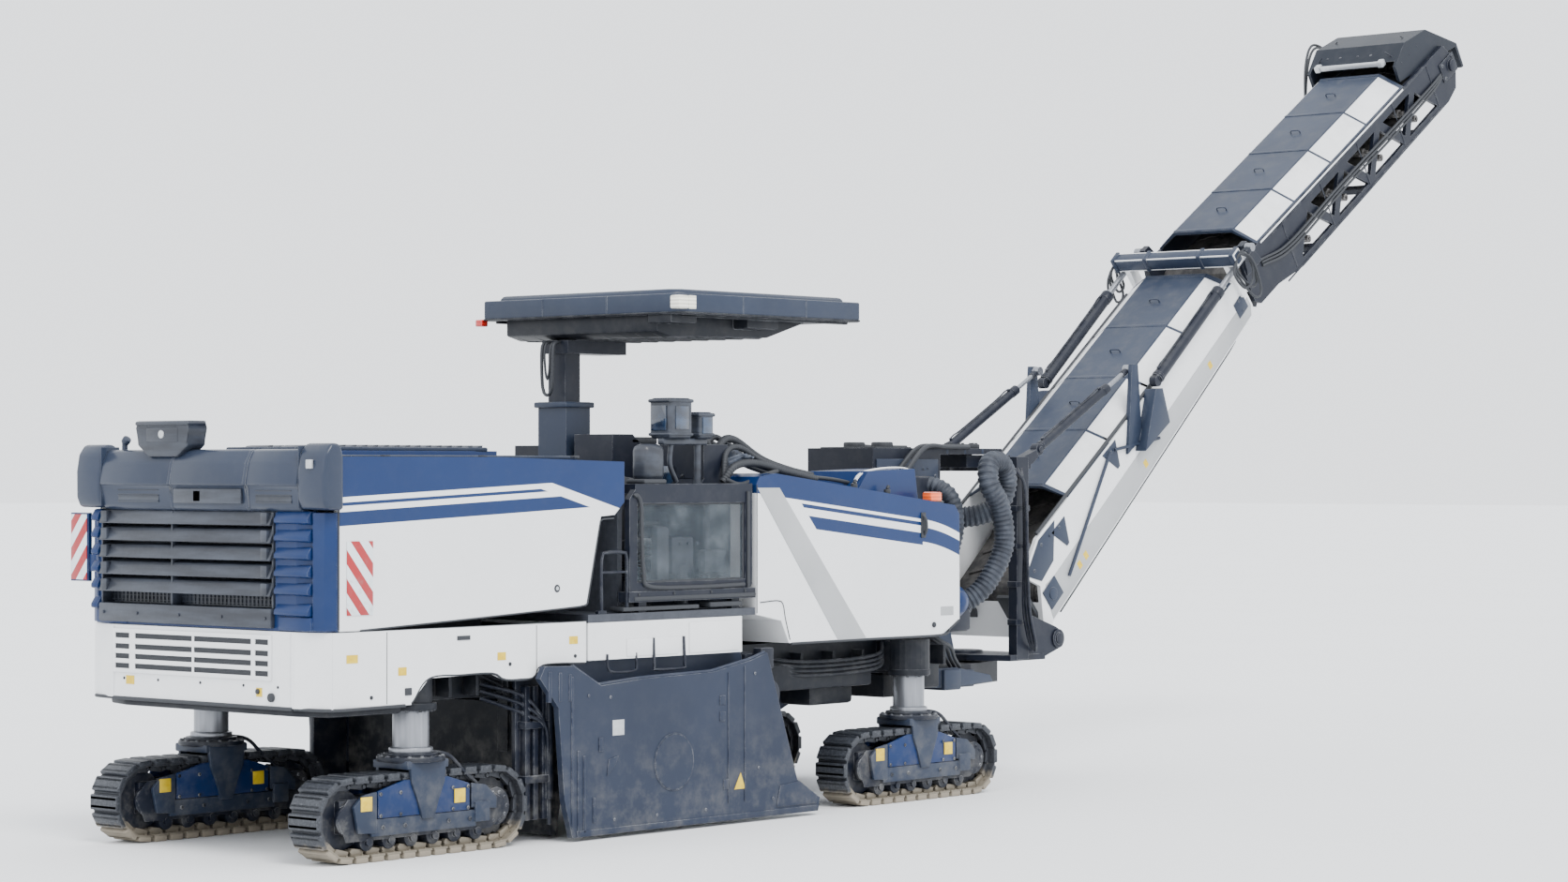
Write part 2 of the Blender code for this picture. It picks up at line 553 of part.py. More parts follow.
cover_start = TAIL + 1.02
cover_end = -0.16
lower_covers = cover_section(lower, cover_start, cover_end, side_top(cover_start) + 0.002,
                             side_top(cover_end) + 0.002, 0.13)
x, z = LIFT_ROD_EYE
for sign in SIDES.values():
    edges = sorted((sign * 0.455, sign * 0.6))
    cut(lower_covers, box(x - 0.35, x + 0.48, edges[0], edges[1], z - 1.3, z + 0.1))
finished(lower_covers, "lower_conveyor_covers", "slate_paint")
pivot(lower_covers, LIFT_PIN[0], 0.0, LIFT_PIN[1])


def belt(section, s0, s1, n0, n1, thick=0.02):
    """A closed belt with its two end drums, as one ring of even thickness round both."""
    def ring(inset):
        radius = (n1 - n0) / 2 - inset
        middle = (n0 + n1) / 2
        ends = [(s1 - (n1 - n0) / 2, -90, 90), (s0 + (n1 - n0) / 2, 90, 270)]
        points = []
        for s, start, end in ends:
            points += arc(s, middle, radius, start, end, 8)
        return section(*points)
    return plate("Y", -BELT_HALF, BELT_HALF, ring(0.0), ring(thick))


lower_belt = belt(lower, TAIL + 0.20, -0.06, 0.14, 0.34)
finished(lower_belt, "lower_belt", "rubber")
pivot(lower_belt, LIFT_PIN[0], 0.0, LIFT_PIN[1])

# ---- discharge conveyor, upper section -----------------------------------------------------

upper_outline = upper((0.02, 0.12), (0.10, 0.05), (0.45, 0.05), (0.90, UNDER), (UPPER_LENGTH - 0.20, UNDER),
                      (UPPER_LENGTH, 0.02), (UPPER_LENGTH + 0.10, 0.18), (UPPER_LENGTH + 0.10, 0.34),
                      (UPPER_LENGTH, 0.50), (0.02, 0.55))
upper_frame = plate("Y", -CONVEYOR_HALF, CONVEYOR_HALF, upper_outline)
cut(upper_frame, plate("Y", -CONVEYOR_HALF + 0.04, CONVEYOR_HALF - 0.04,
                       upper((-0.10, -0.30), (UPPER_LENGTH + 0.30, -0.30), (UPPER_LENGTH + 0.30, 0.80),
                             (-0.10, 0.80))))
bays = 4
pitch = (UPPER_LENGTH - 1.20) / bays
for bay in range(bays):
    s = 0.86 + pitch * bay
    window = upper((s + 0.07, UNDER + 0.07), (s + pitch - 0.07, UNDER + 0.07), (s + pitch / 2, 0.37))
    other = upper((s + pitch / 2 + 0.09, 0.41), (s + pitch * 1.5 - 0.09, 0.41), (s + pitch, UNDER + 0.12))
    cut(upper_frame, plate("Y", -0.7, 0.7, window))
    if bay < bays - 1:
        cut(upper_frame, plate("Y", -0.7, 0.7, other))
for s, n in ((0.14, 0.055), (1.15, UNDER + 0.005), (2.25, UNDER + 0.005), (3.35, UNDER + 0.005)):
    fuse(upper_frame, plate("Y", -0.53, 0.53, upper((s, n), (s + 0.08, n), (s + 0.08, n + 0.055), (s, n + 0.055))))
for sign in SIDES.values():
    knuckle = sorted((sign * 0.385, sign * 0.464))
    fuse(upper_frame, plate("Y", knuckle[0], knuckle[1], upper((-0.055, 0.0), (-0.03, -0.05), (0.04, -0.055),
                                                               (0.20, 0.06), (0.17, 0.10), (0.06, 0.10),
                                                               (-0.03, 0.05))))
    eye = sorted((sign * 0.52, sign * 0.575))
    fuse(upper_frame, plate("Y", eye[0], eye[1], upper((0.02, 0.40), (0.30, 0.40), (0.17, 0.68),
                                                       (0.08, 0.68))))
finished(upper_frame, "upper_conveyor_frame", "dark_paint")
pivot(upper_frame, FOLD_PIN[0], 0.0, FOLD_PIN[1])

upper_covers = cover_section(upper, 0.34, 3.42, 0.552, 0.518, 0.16)
finished(upper_covers, "upper_conveyor_covers", "slate_paint")
pivot(upper_covers, FOLD_PIN[0], 0.0, FOLD_PIN[1])

upper_belt = belt(upper, 0.10, UPPER_LENGTH + 0.14, 0.14, 0.40)
finished(upper_belt, "upper_belt", "rubber")
pivot(upper_belt, FOLD_PIN[0], 0.0, FOLD_PIN[1])

discharge_hood = plate("Y", -0.507, 0.507, upper((3.46, 0.55), (3.46, 0.72), (3.74, 0.84), (4.16, 0.76),
                                               (4.62, 0.36), (4.62, 0.10), (4.585, 0.10), (4.585, 0.34)))
cut(discharge_hood, plate("Y", -0.475, 0.475, upper((3.30, 0.50), (3.30, 0.69), (3.75, 0.805), (4.145, 0.73),
                                                    (4.585, 0.35), (4.585, 0.00), (4.0, 0.0))))
finished(discharge_hood, "discharge_hood", "slate_paint")
pivot(discharge_hood, FOLD_PIN[0], 0.0, FOLD_PIN[1])

# ---- cylinders -----------------------------------------------------------------------------


def cylinder(name, y, eye, rod_eye, barrel_length, rod_start, barrel_radius, rod_radius):
    """A barrel with a blind bore, and the rod that slides in it, between two eyes."""
    span = math.hypot(rod_eye[0] - eye[0], rod_eye[1] - eye[1])
    along = ((rod_eye[0] - eye[0]) / span, (rod_eye[1] - eye[1]) / span)

    def at(distance):
        return (eye[0] + along[0] * distance, y, eye[1] + along[1] * distance)
    barrel = rod(at(0.03), at(barrel_length), barrel_radius, 20)
    fuse(barrel, cross_rod(eye[0], eye[1], y - 0.035, y + 0.035, 0.05, 20))
    cut(barrel, rod(at(rod_start - 0.12), at(barrel_length + 0.1), rod_radius + 0.004, 20))
    finished(barrel, name + "_barrel", "dark_paint")
    pivot(barrel, eye[0], y, eye[1])
    slider = rod(at(rod_start), at(span), rod_radius, 20)
    fuse(slider, cross_rod(rod_eye[0], rod_eye[1], y - 0.035, y + 0.035, 0.04, 20))
    finished(slider, name + "_rod", "bare_steel")
    pivot(slider, rod_eye[0], y, rod_eye[1])


for side, sign in SIDES.items():
    cylinder("lift_cylinder_" + side, sign * 0.50, LIFT_EYE, LIFT_ROD_EYE,
             1.15, 0.32, 0.04, 0.02)
    cylinder("fold_cylinder_" + side, sign * 0.62, FOLD_EYE, FOLD_ROD_EYE, 1.30, 0.24, 0.055, 0.028)
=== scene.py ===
"""Cold planer milling machine on four crawler tracks: the finish of every surface.

Metres, +X forward, +Y to the machine's left, +Z up. Shapes are drawn in stations, metres ahead of
the rear face, and piece() puts them in place.
"""

import math

import bmesh
import bpy
from mathutils import Matrix, Vector


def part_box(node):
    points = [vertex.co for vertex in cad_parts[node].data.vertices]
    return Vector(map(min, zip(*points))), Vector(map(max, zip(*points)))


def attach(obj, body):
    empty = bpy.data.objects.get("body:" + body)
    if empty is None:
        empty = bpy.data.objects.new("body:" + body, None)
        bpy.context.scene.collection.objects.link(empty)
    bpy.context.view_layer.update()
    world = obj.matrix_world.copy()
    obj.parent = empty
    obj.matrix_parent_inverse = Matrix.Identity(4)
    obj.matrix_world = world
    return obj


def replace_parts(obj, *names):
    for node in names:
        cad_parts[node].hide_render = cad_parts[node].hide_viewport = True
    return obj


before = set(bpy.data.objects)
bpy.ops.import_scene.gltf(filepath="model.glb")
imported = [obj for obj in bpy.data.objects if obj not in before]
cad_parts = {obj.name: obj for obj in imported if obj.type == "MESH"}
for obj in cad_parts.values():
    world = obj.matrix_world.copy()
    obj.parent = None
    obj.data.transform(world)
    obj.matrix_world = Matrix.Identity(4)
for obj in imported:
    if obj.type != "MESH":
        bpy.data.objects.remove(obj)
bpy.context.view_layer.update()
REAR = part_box("rear_skirt")[0].x
SIDES = {"right": -1, "left": 1}
ENDS = ("rear", "front")

# ---- studio --------------------------------------------------------------------------------
# A pale floor and soft light from above, seen from the machine's rear right corner at a
# standing man's height with a long lens.


class Wire:
    """A shader socket: arithmetic on it adds Math nodes, and node() adds any other node."""

    def __init__(self, tree, socket):
        self.tree = tree
        self.socket = socket

    def node(self, kind, settings, sockets, output=0):
        made = self.tree.nodes.new("ShaderNode" + kind)
        for key, value in settings.items():
            setattr(made, key, value)
        for key, value in sockets.items():
            if isinstance(value, Wire):
                self.tree.links.new(value.socket, made.inputs[key])
            else:
                made.inputs[key].default_value = value
        return Wire(self.tree, made.outputs[output])

    def math(self, operation, *values):
        return self.node("Math", {"operation": operation}, dict(enumerate(values)))

    def __add__(self, other):
        return self.math("ADD", self, other)

    __radd__ = __add__

    def __sub__(self, other):
        return self.math("SUBTRACT", self, other)

    def __rsub__(self, other):
        return self.math("SUBTRACT", other, self)

    def __mul__(self, other):
        return self.math("MULTIPLY", self, other)

    __rmul__ = __mul__

    def step(self, low, high):
        """0 below low, 1 above high and smooth between; low may be the larger."""
        return self.node("MapRange", {"interpolation_type": "SMOOTHSTEP"},
                         {"Value": self, "From Min": low, "From Max": high})

    def axis(self, index):
        return self.node("SeparateXYZ", {}, {0: self}, index)

    def noise(self, scale, detail=3.0, rough=0.55):
        return self.node("TexNoise", {}, {"Vector": self, "Scale": scale, "Detail": detail,
                                          "Roughness": rough})

    def blend(self, colour, other):
        """Mixes two colours by this wire, from the first at 0 to the second at 1."""
        return self.node("Mix", {"data_type": "RGBA"}, {0: self, 6: solid(colour), 7: solid(other)}, 2)

    def bump(self, strength, distance):
        return self.node("Bump", {}, {"Height": self, "Strength": strength, "Distance": distance})


def solid(colour):
    return colour if isinstance(colour, Wire) else (*colour, 1.0)


def begin(name):
    """A new material, its shader, and wires for a point's place and its face's direction."""
    made = bpy.data.materials.new(name)
    made.use_nodes = True
    tree = made.node_tree
    corner = tree.nodes.new("ShaderNodeTexCoord")
    return made, tree.nodes["Principled BSDF"], Wire(tree, corner.outputs["Object"]), Wire(
        tree, corner.outputs["Normal"])


def connect(shader, **inputs):
    """Sets the shader's sockets, by name with _ for a space: a wire is linked, a number is set."""
    for key, value in inputs.items():
        socket = shader.inputs[key.replace("_", " ")]
        if isinstance(value, Wire):
            value.tree.links.new(value.socket, socket)
        elif socket.type == "RGBA":
            socket.default_value = (*value, 1.0)
        else:
            socket.default_value = value


FLOOR_SIZE = 400.0
FLOOR_GREY = (0.80, 0.81, 0.82)
floor_finish, shader, place, facing = begin("studio_floor")
cloud = place.noise(0.25)
connect(shader, Base_Color=cloud.blend(FLOOR_GREY, (0.84, 0.85, 0.86)), Roughness=0.75)

mesh = bmesh.new()
bmesh.ops.create_grid(mesh, x_segments=8, y_segments=8, size=FLOOR_SIZE / 2)
floor_data = bpy.data.meshes.new("studio_floor")
mesh.to_mesh(floor_data)
mesh.free()
floor_data.materials.append(floor_finish)
floor = bpy.data.objects.new("studio_floor", floor_data)
floor.location.z = -0.001
bpy.context.scene.collection.objects.link(floor)

world = bpy.data.worlds.new("studio")
world.use_nodes = True
world.node_tree.nodes["Background"].inputs["Color"].default_value = (0.93, 0.96, 1.0, 1.0)
world.node_tree.nodes["Background"].inputs["Strength"].default_value = 2.1
bpy.context.scene.world = world

for name, energy, angle, turn in (("key", 2.6, 24.0, (38.0, 0.0, -18.0)),
                                  ("fill", 0.7, 60.0, (60.0, 0.0, -95.0))):
    sun = bpy.data.objects.new(name, bpy.data.lights.new(name, "SUN"))
    sun.data.energy = energy
    sun.data.angle = math.radians(angle)
    sun.rotation_euler = [math.radians(a) for a in turn]
    bpy.context.scene.collection.objects.link(sun)

CAMERA_STATION = -15.2
camera = bpy.data.objects.new("camera", bpy.data.cameras.new("camera"))
camera.data.lens = 80.16
camera.data.clip_end = 500.0
camera.location = (CAMERA_STATION + REAR, -18.56, 2.62)
camera.rotation_euler = (math.radians(90.454), 0.0, math.radians(-48.8))
bpy.context.scene.collection.objects.link(camera)
bpy.context.scene.camera = camera

# ---- chassis -------------------------------------------------------------------------------
# Two welded box frames of steel plate stand on four leg sleeves and carry everything else.
# Sprayed near black, they collect dust on top faces and dirt low down.

DUST = (0.17, 0.165, 0.155)
# Edge colour for enamel: partly bare steel where paint is worn through, partly a painted highlight.
BARE_AND_LIT_EDGE = (0.30, 0.31, 0.33)
BLACK = (0.006, 0.008, 0.013)


def enamel(name, colour, rough=0.42, dust=0.35, wear_and_highlight=0.5, coat=0.25, drift=0.14):
    """Sprayed enamel: colour drift, dust on top faces and low down, edges lightened partly from rubbing and
    partly as a painted highlight, orange peel.
    """
    made, shader, place, facing = begin(name)
    grain = place.noise(7.0, 7.0, 0.65)
    cloud = place.noise(1.3, 4.0)
    paint = colour
    if not isinstance(colour, Wire):
        paint = cloud.step(0.3, 0.7).blend(colour, [c * (1 - drift) for c in colour])
    film = grain.step(0.40, 0.75) * (facing.axis(2).step(0.4, 1.0) * 0.5
                                     + place.axis(2).step(1.0, 0.1) + 0.12) * dust
    # Edges are lightened towards a bare grey: partly paint worn through, partly a painted highlight where
    # light catches the rounded edge.
    rounded = place.node("Bevel", {"samples": 4}, {"Radius": 0.006})
    flat = place.node("NewGeometry", {}, {}, 1)
    turn = 1 - rounded.node("VectorMath", {"operation": "DOT_PRODUCT"}, {0: rounded, 1: flat}, 1)
    edge_wear_and_highlight = turn.step(0.03, 0.15) * grain.step(0.35, 0.6) * wear_and_highlight
    coloured = edge_wear_and_highlight.blend(film.blend(paint, DUST), BARE_AND_LIT_EDGE)
    peel = place.noise(140.0, 2.0) * 0.3 + grain
    bump = peel.node("Bump", {}, {"Height": peel, "Strength": 0.05, "Distance": 0.004, "Normal": rounded})
    connect(shader, Base_Color=coloured, Roughness=film * 0.5 + cloud * 0.10 + rough, Coat_Weight=coat * 0.4,
            Coat_Roughness=0.15, Specular_IOR_Level=0.25, Normal=bump)
    return made


def dress(finish, *nodes):
    """Gives CAD nodes that are shown a better finish."""
    for node in nodes:
        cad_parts[node].material_slots[0].material = finish


def soften(mesh, corners, edge):
    """Rounds over every edge between the given corners."""
    if edge:
        edges = list({e for corner in corners for e in corner.link_edges})
        bmesh.ops.bevel(mesh, geom=edges, offset=edge, segments=2, profile=0.5, affect="EDGES",
                        clamp_overlap=True)


def block(mesh, x, y, z, edge=0.005):
    """A box over three (low, high) pairs."""
    size = [high - low for low, high in (x, y, z)]
    centre = [(low + high) / 2 for low, high in (x, y, z)]
    matrix = Matrix.Translation(centre) @ Matrix.Diagonal((*size, 1.0))
    made = bmesh.ops.create_cube(mesh, size=1.0, matrix=matrix)
    soften(mesh, made["verts"], edge)


def prism(mesh, axis, low, high, outline, edge=0.005):
    """A flat outline made thick along an axis."""
    order = {"X": (2, 0, 1), "Y": (0, 2, 1), "Z": (0, 1, 2)}[axis]
    rings = []
    for level in (low, high):
        points = [(u, v, level) for u, v in outline]
        rings.append([mesh.verts.new([p[i] for i in order]) for p in points])
    mesh.faces.new(rings[0][::-1])
    mesh.faces.new(rings[1])
    for i in range(len(outline)):
        mesh.faces.new((rings[0][i - 1], rings[0][i], rings[1][i], rings[1][i - 1]))
    soften(mesh, rings[0] + rings[1], edge)


def rod(mesh, start, end, radius, sides=20, edge=0.0, tip=None):
    """A round bar, or a cone when it has a tip radius."""
    a, b = Vector(start), Vector(end)
    turn = (b - a).to_track_quat("Z", "Y").to_matrix().to_4x4()
    made = bmesh.ops.create_cone(mesh, cap_ends=True, segments=sides, radius1=radius,
                                 radius2=radius if tip is None else tip, depth=(b - a).length,
                                 matrix=Matrix.Translation((a + b) / 2) @ turn)
    if edge:
        rims = [e for v in made["verts"] for e in v.link_edges
                if any(len(f.verts) > 4 for f in e.link_faces)]
        bmesh.ops.bevel(mesh, geom=list(set(rims)), offset=edge, segments=2, profile=0.5, affect="EDGES",
                        clamp_overlap=True)


def bolts(mesh, places, direction, size=0.012):
    """Hexagon heads standing on a surface, on washers, with their axis along a direction."""
    along = Vector(direction).normalized()
    for place in places:
        foot = Vector(place)
        rod(mesh, foot - along * 0.001, foot + along * 0.004, size * 1.35, 12)
        rod(mesh, foot, foot + along * size * 0.9, size, 6)


def smooth_line(points, step):
    """Even steps along a smooth curve through a few points."""
    line = [Vector(p) for p in points]
    ends = [2 * line[0] - line[1], *line, 2 * line[-1] - line[-2]]
    found = []
    for a, b, c, d in zip(ends, ends[1:], ends[2:], ends[3:]):
        count = max(2, round((c - b).length / step))
        for i in range(count):
            t = i / count
            found.append((2 * b + (c - a) * t + (2 * a - 5 * b + 4 * c - d) * t ** 2
                          + (3 * b - a - 3 * c + d) * t ** 3) / 2)
    return found + [line[-1]]


def hose(mesh, points, radius, ring=0.0, sides=10):
    """A pipe or hose on a smooth curve; with a ring pitch its wall is corrugated."""
    line = smooth_line(points, ring / 4 if ring else max(0.03, radius * 1.5))
    side = Vector((0.31, 0.9, 0.27))
    rings = []
    for i, here in enumerate(line):
        ahead = (line[min(i + 1, len(line) - 1)] - line[max(i - 1, 0)]).normalized()
        side = (side - ahead * side.dot(ahead)).normalized()
        up = ahead.cross(side)
        swell = radius * (1 - (0.10 * (i % 4 in (0, 1)) if ring else 0))
        rings.append([mesh.verts.new(here + (side * math.cos(a) + up * math.sin(a)) * swell)
                      for a in (math.tau * k / sides for k in range(sides))])
    for low, high in zip(rings, rings[1:]):
        for k in range(sides):
            mesh.faces.new((low[k - 1], low[k], high[k], high[k - 1]))
    mesh.faces.new(rings[0][::-1])
    mesh.faces.new(rings[-1])


def piece(mesh, name, body, finish, place=Matrix(), angle=35.0):
    """Makes a riding piece from drawn shapes; place lays what is drawn flat on its slope."""
    mesh.transform(Matrix.Translation((REAR, 0.0, 0.0)) @ place)
    bmesh.ops.recalc_face_normals(mesh, faces=mesh.faces)
    data = bpy.data.meshes.new(name)
    mesh.to_mesh(data)
    mesh.free()
    data.materials.append(finish)
    data.shade_smooth()
    data.set_sharp_from_angle(angle=math.radians(angle))
    made = bpy.data.objects.new(name, data)
    bpy.context.scene.collection.objects.link(made)
    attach(made, body)
    return made


chassis_black = enamel("chassis_black", BLACK, 0.5, 0.8, 0.6, 0.1)
dress(chassis_black, "rear_frame", "front_frame", "engine_block")

for sign in SIDES.values():
    mesh = bmesh.new()
    y = sign * 0.86
    for x in (0.40, 0.62, 1.36, 1.62, 1.92):
        block(mesh, (x, x + 0.03), sorted((y, y + sign * 0.14)), (1.045, 1.26))
    for x in (4.72, 5.10, 5.48, 5.84, 6.86):
        block(mesh, (x, x + 0.03), sorted((y - sign * 0.44, y + sign * 0.10)), (1.04, 1.20))
    block(mesh, (4.66, 5.92), sorted((y + sign * 0.02, y + sign * 0.13)), (0.92, 1.12), 0.02)
    block(mesh, (5.30, 5.82), sorted((y - sign * 0.30, y + sign * 0.02)), (0.78, 1.04), 0.03)
    block(mesh, (6.72, 7.06), sorted((y - sign * 0.36, y - sign * 0.10)), (0.84, 1.22), 0.02)
    for k in range(4):
        z = 1.03 + 0.035 * k
        hose(mesh, [(1.75, y, z + 0.12), (1.98, y + sign * 0.10, z), (2.16, y + sign * 0.16, z - 0.12),
                    (2.20, y + sign * 0.12, 0.62 + z / 4)], 0.016)
        hose(mesh, [(4.60, y, z + 0.06), (5.10, y + sign * 0.15, z), (5.90, y + sign * 0.17, z + 0.02),
                    (6.15, y + sign * 0.05, z + 0.12)], 0.014)
    for x in (0.96, 6.30):
        rod(mesh, (x, sign * 1.05, 0.985), (x, sign * 1.05, 1.035), 0.175, 32, 0.008)
        bolts(mesh, [(x + 0.155 * math.cos(a), sign * 1.05 + 0.155 * math.sin(a), 0.985)
                     for a in (math.tau * k / 10 for k in range(10))], (0, 0, -1), 0.011)
    piece(mesh, f"chassis_fittings_{'right' if sign < 0 else 'left'}", "root", chassis_black)

# ---- crawler tracks ------------------------------------------------------------------------
# Each track is a loop of forged links with a bolted steel shoe and a hard pad on every link,
# run round a toothed sprocket and an idler. Dark where it is scuffed clean, pale with dried
# milling dust along the ground.

TRACK_LOW, TRACK_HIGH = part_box("track_rear_right")
TRACK_RADIUS = (TRACK_HIGH.z - TRACK_LOW.z) / 2
TRACK_HALF_RUN = (TRACK_HIGH.x - TRACK_LOW.x) / 2 - TRACK_RADIUS
SHOES = 32
PAD_HALF = 0.054
LEG_Y = 1.05

made, shader, place, facing = begin("track_pad")
mud = place.noise(14.0, 8.0, 0.7)
ground = place.axis(2).step(0.20, 0.0)
fine = place.noise(60.0, 5.0, 0.7)
caked = (ground * 1.1 + mud * 0.9 - 0.62).step(0.0, 0.45)
scuffed = fine.step(0.45, 0.7).blend((0.018, 0.021, 0.028), (0.060, 0.066, 0.078))
connect(shader, Base_Color=caked.blend(scuffed, (0.23, 0.20, 0.155)), Roughness=caked * 0.4 + 0.5,
        Normal=(fine + mud).bump(0.5, 0.006))
track_pad = made

made, shader, place, facing = begin("cast_link")
mud = place.noise(22.0, 6.0, 0.7)
caked = (place.axis(2).step(0.25, 0.0) + mud - 0.55).step(0.0, 0.5)
connect(shader, Base_Color=caked.blend((0.035, 0.038, 0.046), (0.20, 0.175, 0.135)), Metallic=0.35,
        Roughness=0.55, Normal=mud.bump(0.4, 0.005))
cast_link = made


def around_track(distance):
    """Place, outward turn and straight share at a distance round the loop, from its top middle."""
    arc_length = math.pi * TRACK_RADIUS
    total = 4 * TRACK_HALF_RUN + 2 * arc_length
    distance %= total
    for corner_x, top in ((TRACK_HALF_RUN, 1), (-TRACK_HALF_RUN, -1)):
        run = TRACK_HALF_RUN if top == 1 else 2 * TRACK_HALF_RUN
        if distance < run:
            x = distance if top == 1 else TRACK_HALF_RUN - distance
            return x, TRACK_RADIUS * (1 + top), 0.0 if top == 1 else math.pi
        distance -= run
        if distance < arc_length:
            turn = distance / TRACK_RADIUS + (0.0 if top == 1 else math.pi)
            return (corner_x + TRACK_RADIUS * math.sin(turn),
                    TRACK_RADIUS * (1 + math.cos(turn)), turn)
        distance -= arc_length
    return distance - TRACK_HALF_RUN, 2 * TRACK_RADIUS, 0.0


def on_loop(shape, x, y, z, turn):
    """Turns a shape drawn flat at the origin to lie on the loop."""
    shape.transform(Matrix.Translation((x, y, z)) @ Matrix.Rotation(turn, 4, "Y"))


def join(mesh, shape):
    """Adds a shape to a mesh and frees it."""
    data = bpy.data.meshes.new("shape")
    shape.to_mesh(data)
    shape.free()
    mesh.from_mesh(data)
    bpy.data.meshes.remove(data)


LEG_X = {end: (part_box(f"track_{end}_right")[0].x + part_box(f"track_{end}_right")[1].x) / 2 - REAR
         for end in ENDS}
loop_length = 4 * TRACK_HALF_RUN + math.tau * TRACK_RADIUS
for end in ENDS:
    for side, sign in SIDES.items():
        pads = bmesh.new()
        links = bmesh.new()
        for k in range(SHOES):
            x, z, turn = around_track(loop_length * k / SHOES)
            bend = 0.0 if turn in (0.0, math.pi) else 0.006
            shape = bmesh.new()
            block(shape, (-PAD_HALF, PAD_HALF), (-0.148, 0.148), (-0.040, -bend), 0.009)
            for rib in (-0.030, 0.030):
                block(shape, (rib - 0.012, rib + 0.012), (-0.146, 0.146), (-0.030, 0.0 - bend), 0.004)
            on_loop(shape, LEG_X[end] + x, sign * LEG_Y, z, turn)
            join(pads, shape)
            shape = bmesh.new()
            block(shape, (-0.064, 0.060), (-0.146, 0.146), (-0.052, -0.036), 0.003)
            for y in (-0.075, 0.075):
                prism(shape, "Y", y - 0.018, y + 0.018,
                      [(-0.060, -0.085), (0.050, -0.100), (0.062, -0.052), (-0.050, -0.050)], 0.004)
            rod(shape, (0.055, -0.10, -0.078), (0.055, 0.10, -0.078), 0.014, 10)
            bolts(shape, [(-0.02, y, -0.052) for y in (-0.12, -0.04, 0.04, 0.12)], (0, 0, -1), 0.008)
            on_loop(shape, LEG_X[end] + x, sign * LEG_Y, z, turn)
            join(links, shape)
        body = f"crawler_{end}_{side}"
        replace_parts(piece(pads, f"track_pads_{end}_{side}", body, track_pad),
                    f"track_{end}_{side}")
        piece(links, f"track_links_{end}_{side}", body, cast_link)

# ---- crawler frames and legs ---------------------------------------------------------------
# A welded frame inside each loop holds the sprocket with its hydraulic motor, the idler and
# the rollers. A yoke over it turns with the leg, a chromed tube in a bolted flange. The
# covers are blue and slate, with blank yellow plates.

BLUE = (0.0028, 0.020, 0.088)
SLATE = (0.020, 0.030, 0.055)
NAVY = (0.006, 0.009, 0.019)
blue_enamel = enamel("blue_enamel", BLUE, 0.34, 0.22)
slate_enamel = enamel("slate_enamel", SLATE, 0.42, 0.35)
navy_enamel = enamel("navy_enamel", NAVY, 0.45, 0.5, 0.8)
made, shader, place, facing = begin("leg_chrome")
streak = place.node("Mapping", {}, {"Vector": place, "Scale": (60.0, 60.0, 2.0)}).noise(1.0, 4.0)
connect(shader, Base_Color=streak.blend((0.16, 0.17, 0.19), (0.36, 0.37, 0.40)), Metallic=0.75,
        Roughness=streak * 0.15 + 0.28)
leg_chrome = made
made, shader, place, facing = begin("yellow_plate")
connect(shader, Base_Color=place.noise(30.0, 5.0).step(0.3, 0.7).blend((0.64, 0.42, 0.006),
                                                                       (0.72, 0.52, 0.03)),
        Roughness=0.5)
yellow_plate = made

